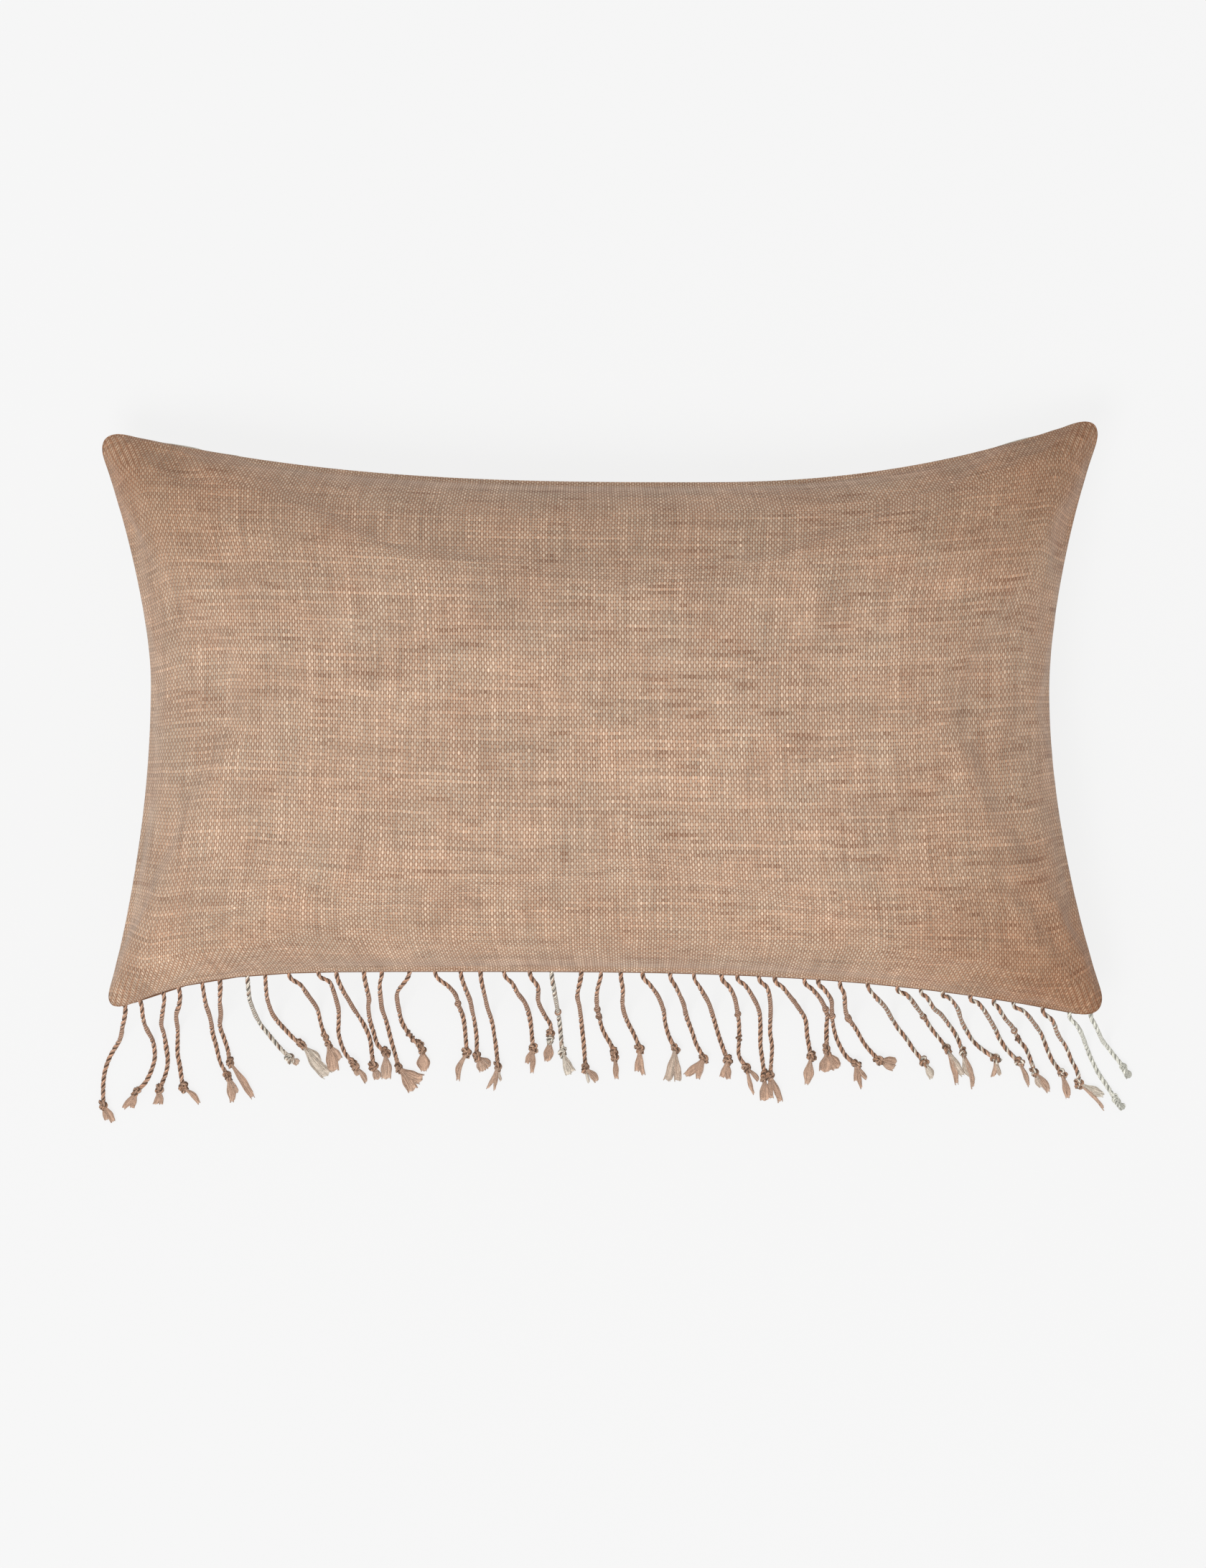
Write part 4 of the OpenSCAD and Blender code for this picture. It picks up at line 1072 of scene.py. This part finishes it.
def rolled_panel(name, points, cut, side, material, dye):
    """A panel whose rim rolls over a small round edge into its seam allowance."""
    nu, nv = grid_u.shape
    flat = points.reshape(-1, 3)
    edge = flat[rim]
    ahead = np.roll(edge, -1, 0) - np.roll(edge, 1, 0)
    ahead[:, 2] = 0
    inward = unit(np.stack([-ahead[:, 1], ahead[:, 0], 0 * ahead[:, 0]], 1))
    roll = 1.3 * MM
    rim_v = grid_v.ravel()[rim]
    under = np.where(rim_v < TAPE_V, HEADER_T, 0) if side < 0 else 0 * edge[:, 0]
    seam = edge[:, 2] - under
    moved = flat.copy()
    moved[rim, 2] = seam + side * roll
    rows = [moved]
    cuts = [cut.reshape(-1, 3)]
    # Painted shade factor of each point; the rim's rings take the rim's
    painted_shades = [dye.ravel()] + [dye.ravel()[rim]] * 3
    edge_cut = cut.reshape(-1, 3)[rim]
    # Beside the zip the allowance is a narrow hem
    at_zip = open_share(edge[:, 0]) * (side < 0) * (rim_v > 0.99)
    reach = (ALLOWANCE - roll) * (1 - at_zip) + (HEM - roll) * at_zip
    for angle, extra in ((40, 0), (90, 0), (90, 1)):
        a = math.radians(angle)
        step = (roll * (1 - math.cos(a)) + extra * reach)[:, None]
        drop = roll * math.sin(a)
        ring = edge + inward * step
        ring[:, 2] = seam + side * (roll - drop + 0.05 * MM)
        rows.append(ring)
        cuts.append(edge_cut - unit(edge_cut) * (step + drop))
    faces = [grid_faces(nu, nv, side)]
    before = rim
    for k in range(3):
        now = nu * nv + k * len(rim) + np.arange(len(rim))
        band = np.stack([before, now, np.roll(now, -1), np.roll(before, -1)], -1)
        faces.append(band[:, ::side])
        before = now
    piece = add_mesh(name, np.concatenate(rows), faces, material,
                     (("cut", np.concatenate(cuts)), ("dye", np.concatenate(painted_shades))))
    subdivide = piece.modifiers.new("subdivide", "SUBSURF")
    subdivide.levels = subdivide.render_levels = 1
    bake_modifiers(piece)
    return piece


front_panel = rolled_panel("front_panel", front_points, cut_front, 1, front_cloth, painted_shade_factor())
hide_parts("cover_front")
back_panel = rolled_panel("back_panel", back_points, cut_back, -1, back_cloth,
                          np.ones(grid_u.shape))
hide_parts("cover_back")

# ---- Zip coils: each a spiral of nylon wire along the zip's arc ----

COIL_PITCH = 1.25 * MM
WIRE_R = 0.3 * MM
# The wires reach a little nearer to each other than the CAD's plain bands
COIL_LOW = 0.42 * MM


def coil(side):
    half = (ZIP_L / 2 - STOP_L) / ZIP_R
    turns = int(2 * half * ZIP_R / COIL_PITCH)
    t = np.linspace(0, 1, turns * 12 + 1)
    spin = 2 * math.pi * turns * t + (math.pi if side > 0 else 0)
    out = COIL_T / 2 + (COIL_T / 2 - WIRE_R) * np.cos(spin)
    up = side * ((COIL_HIGH + COIL_LOW) / 2 + ((COIL_HIGH - COIL_LOW) / 2 - WIRE_R) * np.sin(spin))
    angle = (2 * t - 1) * half
    radius = ZIP_R + ZIP_INSET - out
    line = np.stack([ZIP_X + radius * np.sin(angle), TOP_WAIST + ZIP_R - radius * np.cos(angle),
                     ZIP_Z + up], -1)
    tubes = Tubes()
    tubes.add(line, WIRE_R, 5)
    name = "front" if side > 0 else "back"
    piece = tubes.piece("zip_coil_wire_" + name, coil_nylon)
    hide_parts("zip_coil_" + name)


coil(1)
coil(-1)

# ---- Care label: a satin tag that hangs in soft waves under the left seam ----

LABEL_V = (-0.03, 0.17)
LABEL_TOP = SEAM_H - 5.5 * MM
LABEL_LOW = SEAM_H - 24 * MM
LABEL_LEAN = 3 * MM


def care_label():
    across, down = 24, 16
    v, t = np.meshgrid(np.linspace(*LABEL_V, across + 1), np.linspace(0, 1, down + 1),
                       indexing="ij")
    phase = (v - LABEL_V[0]) / (LABEL_V[1] - LABEL_V[0])
    wave = 0.5 * MM * t * np.sin(2.2 * math.pi * phase + 1.2 * t)
    x = 0.25 * MM - rise(v, EDGE_LEFT) + LABEL_LEAN * t**1.5 + wave
    y = v * rise(-1, EDGE_TOP)
    z = LABEL_TOP + (LABEL_LOW - LABEL_TOP) * t
    sheet = np.stack([x, y, z], -1).reshape(-1, 3)
    piece = add_mesh("care_label_tag", sheet, [grid_faces(across + 1, down + 1, 1)], satin)
    thick = piece.modifiers.new("thick", "SOLIDIFY")
    thick.thickness = 0.4 * MM
    thick.offset = 0
    bake_modifiers(piece)
    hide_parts("care_label")


care_label()

# ---- CAD nodes that stay, in better materials ----

for material, nodes in (
    (header_tape, "fringe_header"), (tape_cloth, "zip_tape_front zip_tape_back"),
    (zip_metal, "zip_end_stops zip_slider zip_pull_tab"),
    (casing_cloth, "insert_casing_front insert_casing_back"),
    (fibre_fill, "fill"), (sewing_thread, "seam_stitching"),
):
    for node in nodes.split():
        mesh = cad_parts[node].data
        mesh.materials.clear()
        mesh.materials.append(material)

# ---- Floor and light ----

FLOOR_REACH = 6
FLOOR_TONE = 0.09
# The floor glows a little, as the photograph's even surface does, so that shadows stay faint
FLOOR_GLOW = 0.815


def add_floor():
    look = Look("floor")
    place = look.node("ShaderNodeTexCoord").outputs["Object"]
    grain = look.noise(place, 3, 2)
    tint = look.shade((FLOOR_TONE,) * 3, look.remap(grain, 0.3, 0.7, 0.99, 1.01))
    material = look.finish(tint, 0.9, 0.0, 0.1)
    look.shader.inputs["Emission Color"].default_value = (1, 1, 1, 1)
    look.shader.inputs["Emission Strength"].default_value = FLOOR_GLOW
    mesh = bpy.data.meshes.new("floor")
    corners = np.array([(-1, -1, 0), (1, -1, 0), (1, 1, 0), (-1, 1, 0)]) * FLOOR_REACH
    mesh.from_pydata(corners.tolist(), [], [(0, 1, 2, 3)])
    mesh.materials.append(material)
    add_object("floor", mesh)


add_floor()

LIGHT_PLACE = (-1.1, -1.8, 4.1)
lamp = bpy.data.lights.new("key", "AREA")
lamp.size = 2.0
lamp.energy = 110
light = add_object("key", lamp)
light.location = LIGHT_PLACE
aim_x, aim_y, aim_z = (-p for p in LIGHT_PLACE)
light.rotation_euler = (
    math.atan2(math.hypot(aim_x, aim_y), -aim_z), 0, math.atan2(aim_y, aim_x) - math.pi / 2
)

WORLD_LIGHT = 0.74
world = bpy.data.worlds.new("studio")
world.use_nodes = True
background = world.node_tree.nodes["Background"].inputs
background["Color"].default_value = (1, 1, 1, 1)
background["Strength"].default_value = WORLD_LIGHT
bpy.context.scene.world = world

# ---- A pass over the cords, their ends and their routes, which skips those in UNDECLARED ----

UNDECLARED = (8, 9, 19)
for number, (piece, ends, route) in enumerate(zip(cord_pieces, end_pieces, routes), 1):
    if number in UNDECLARED:
        continue
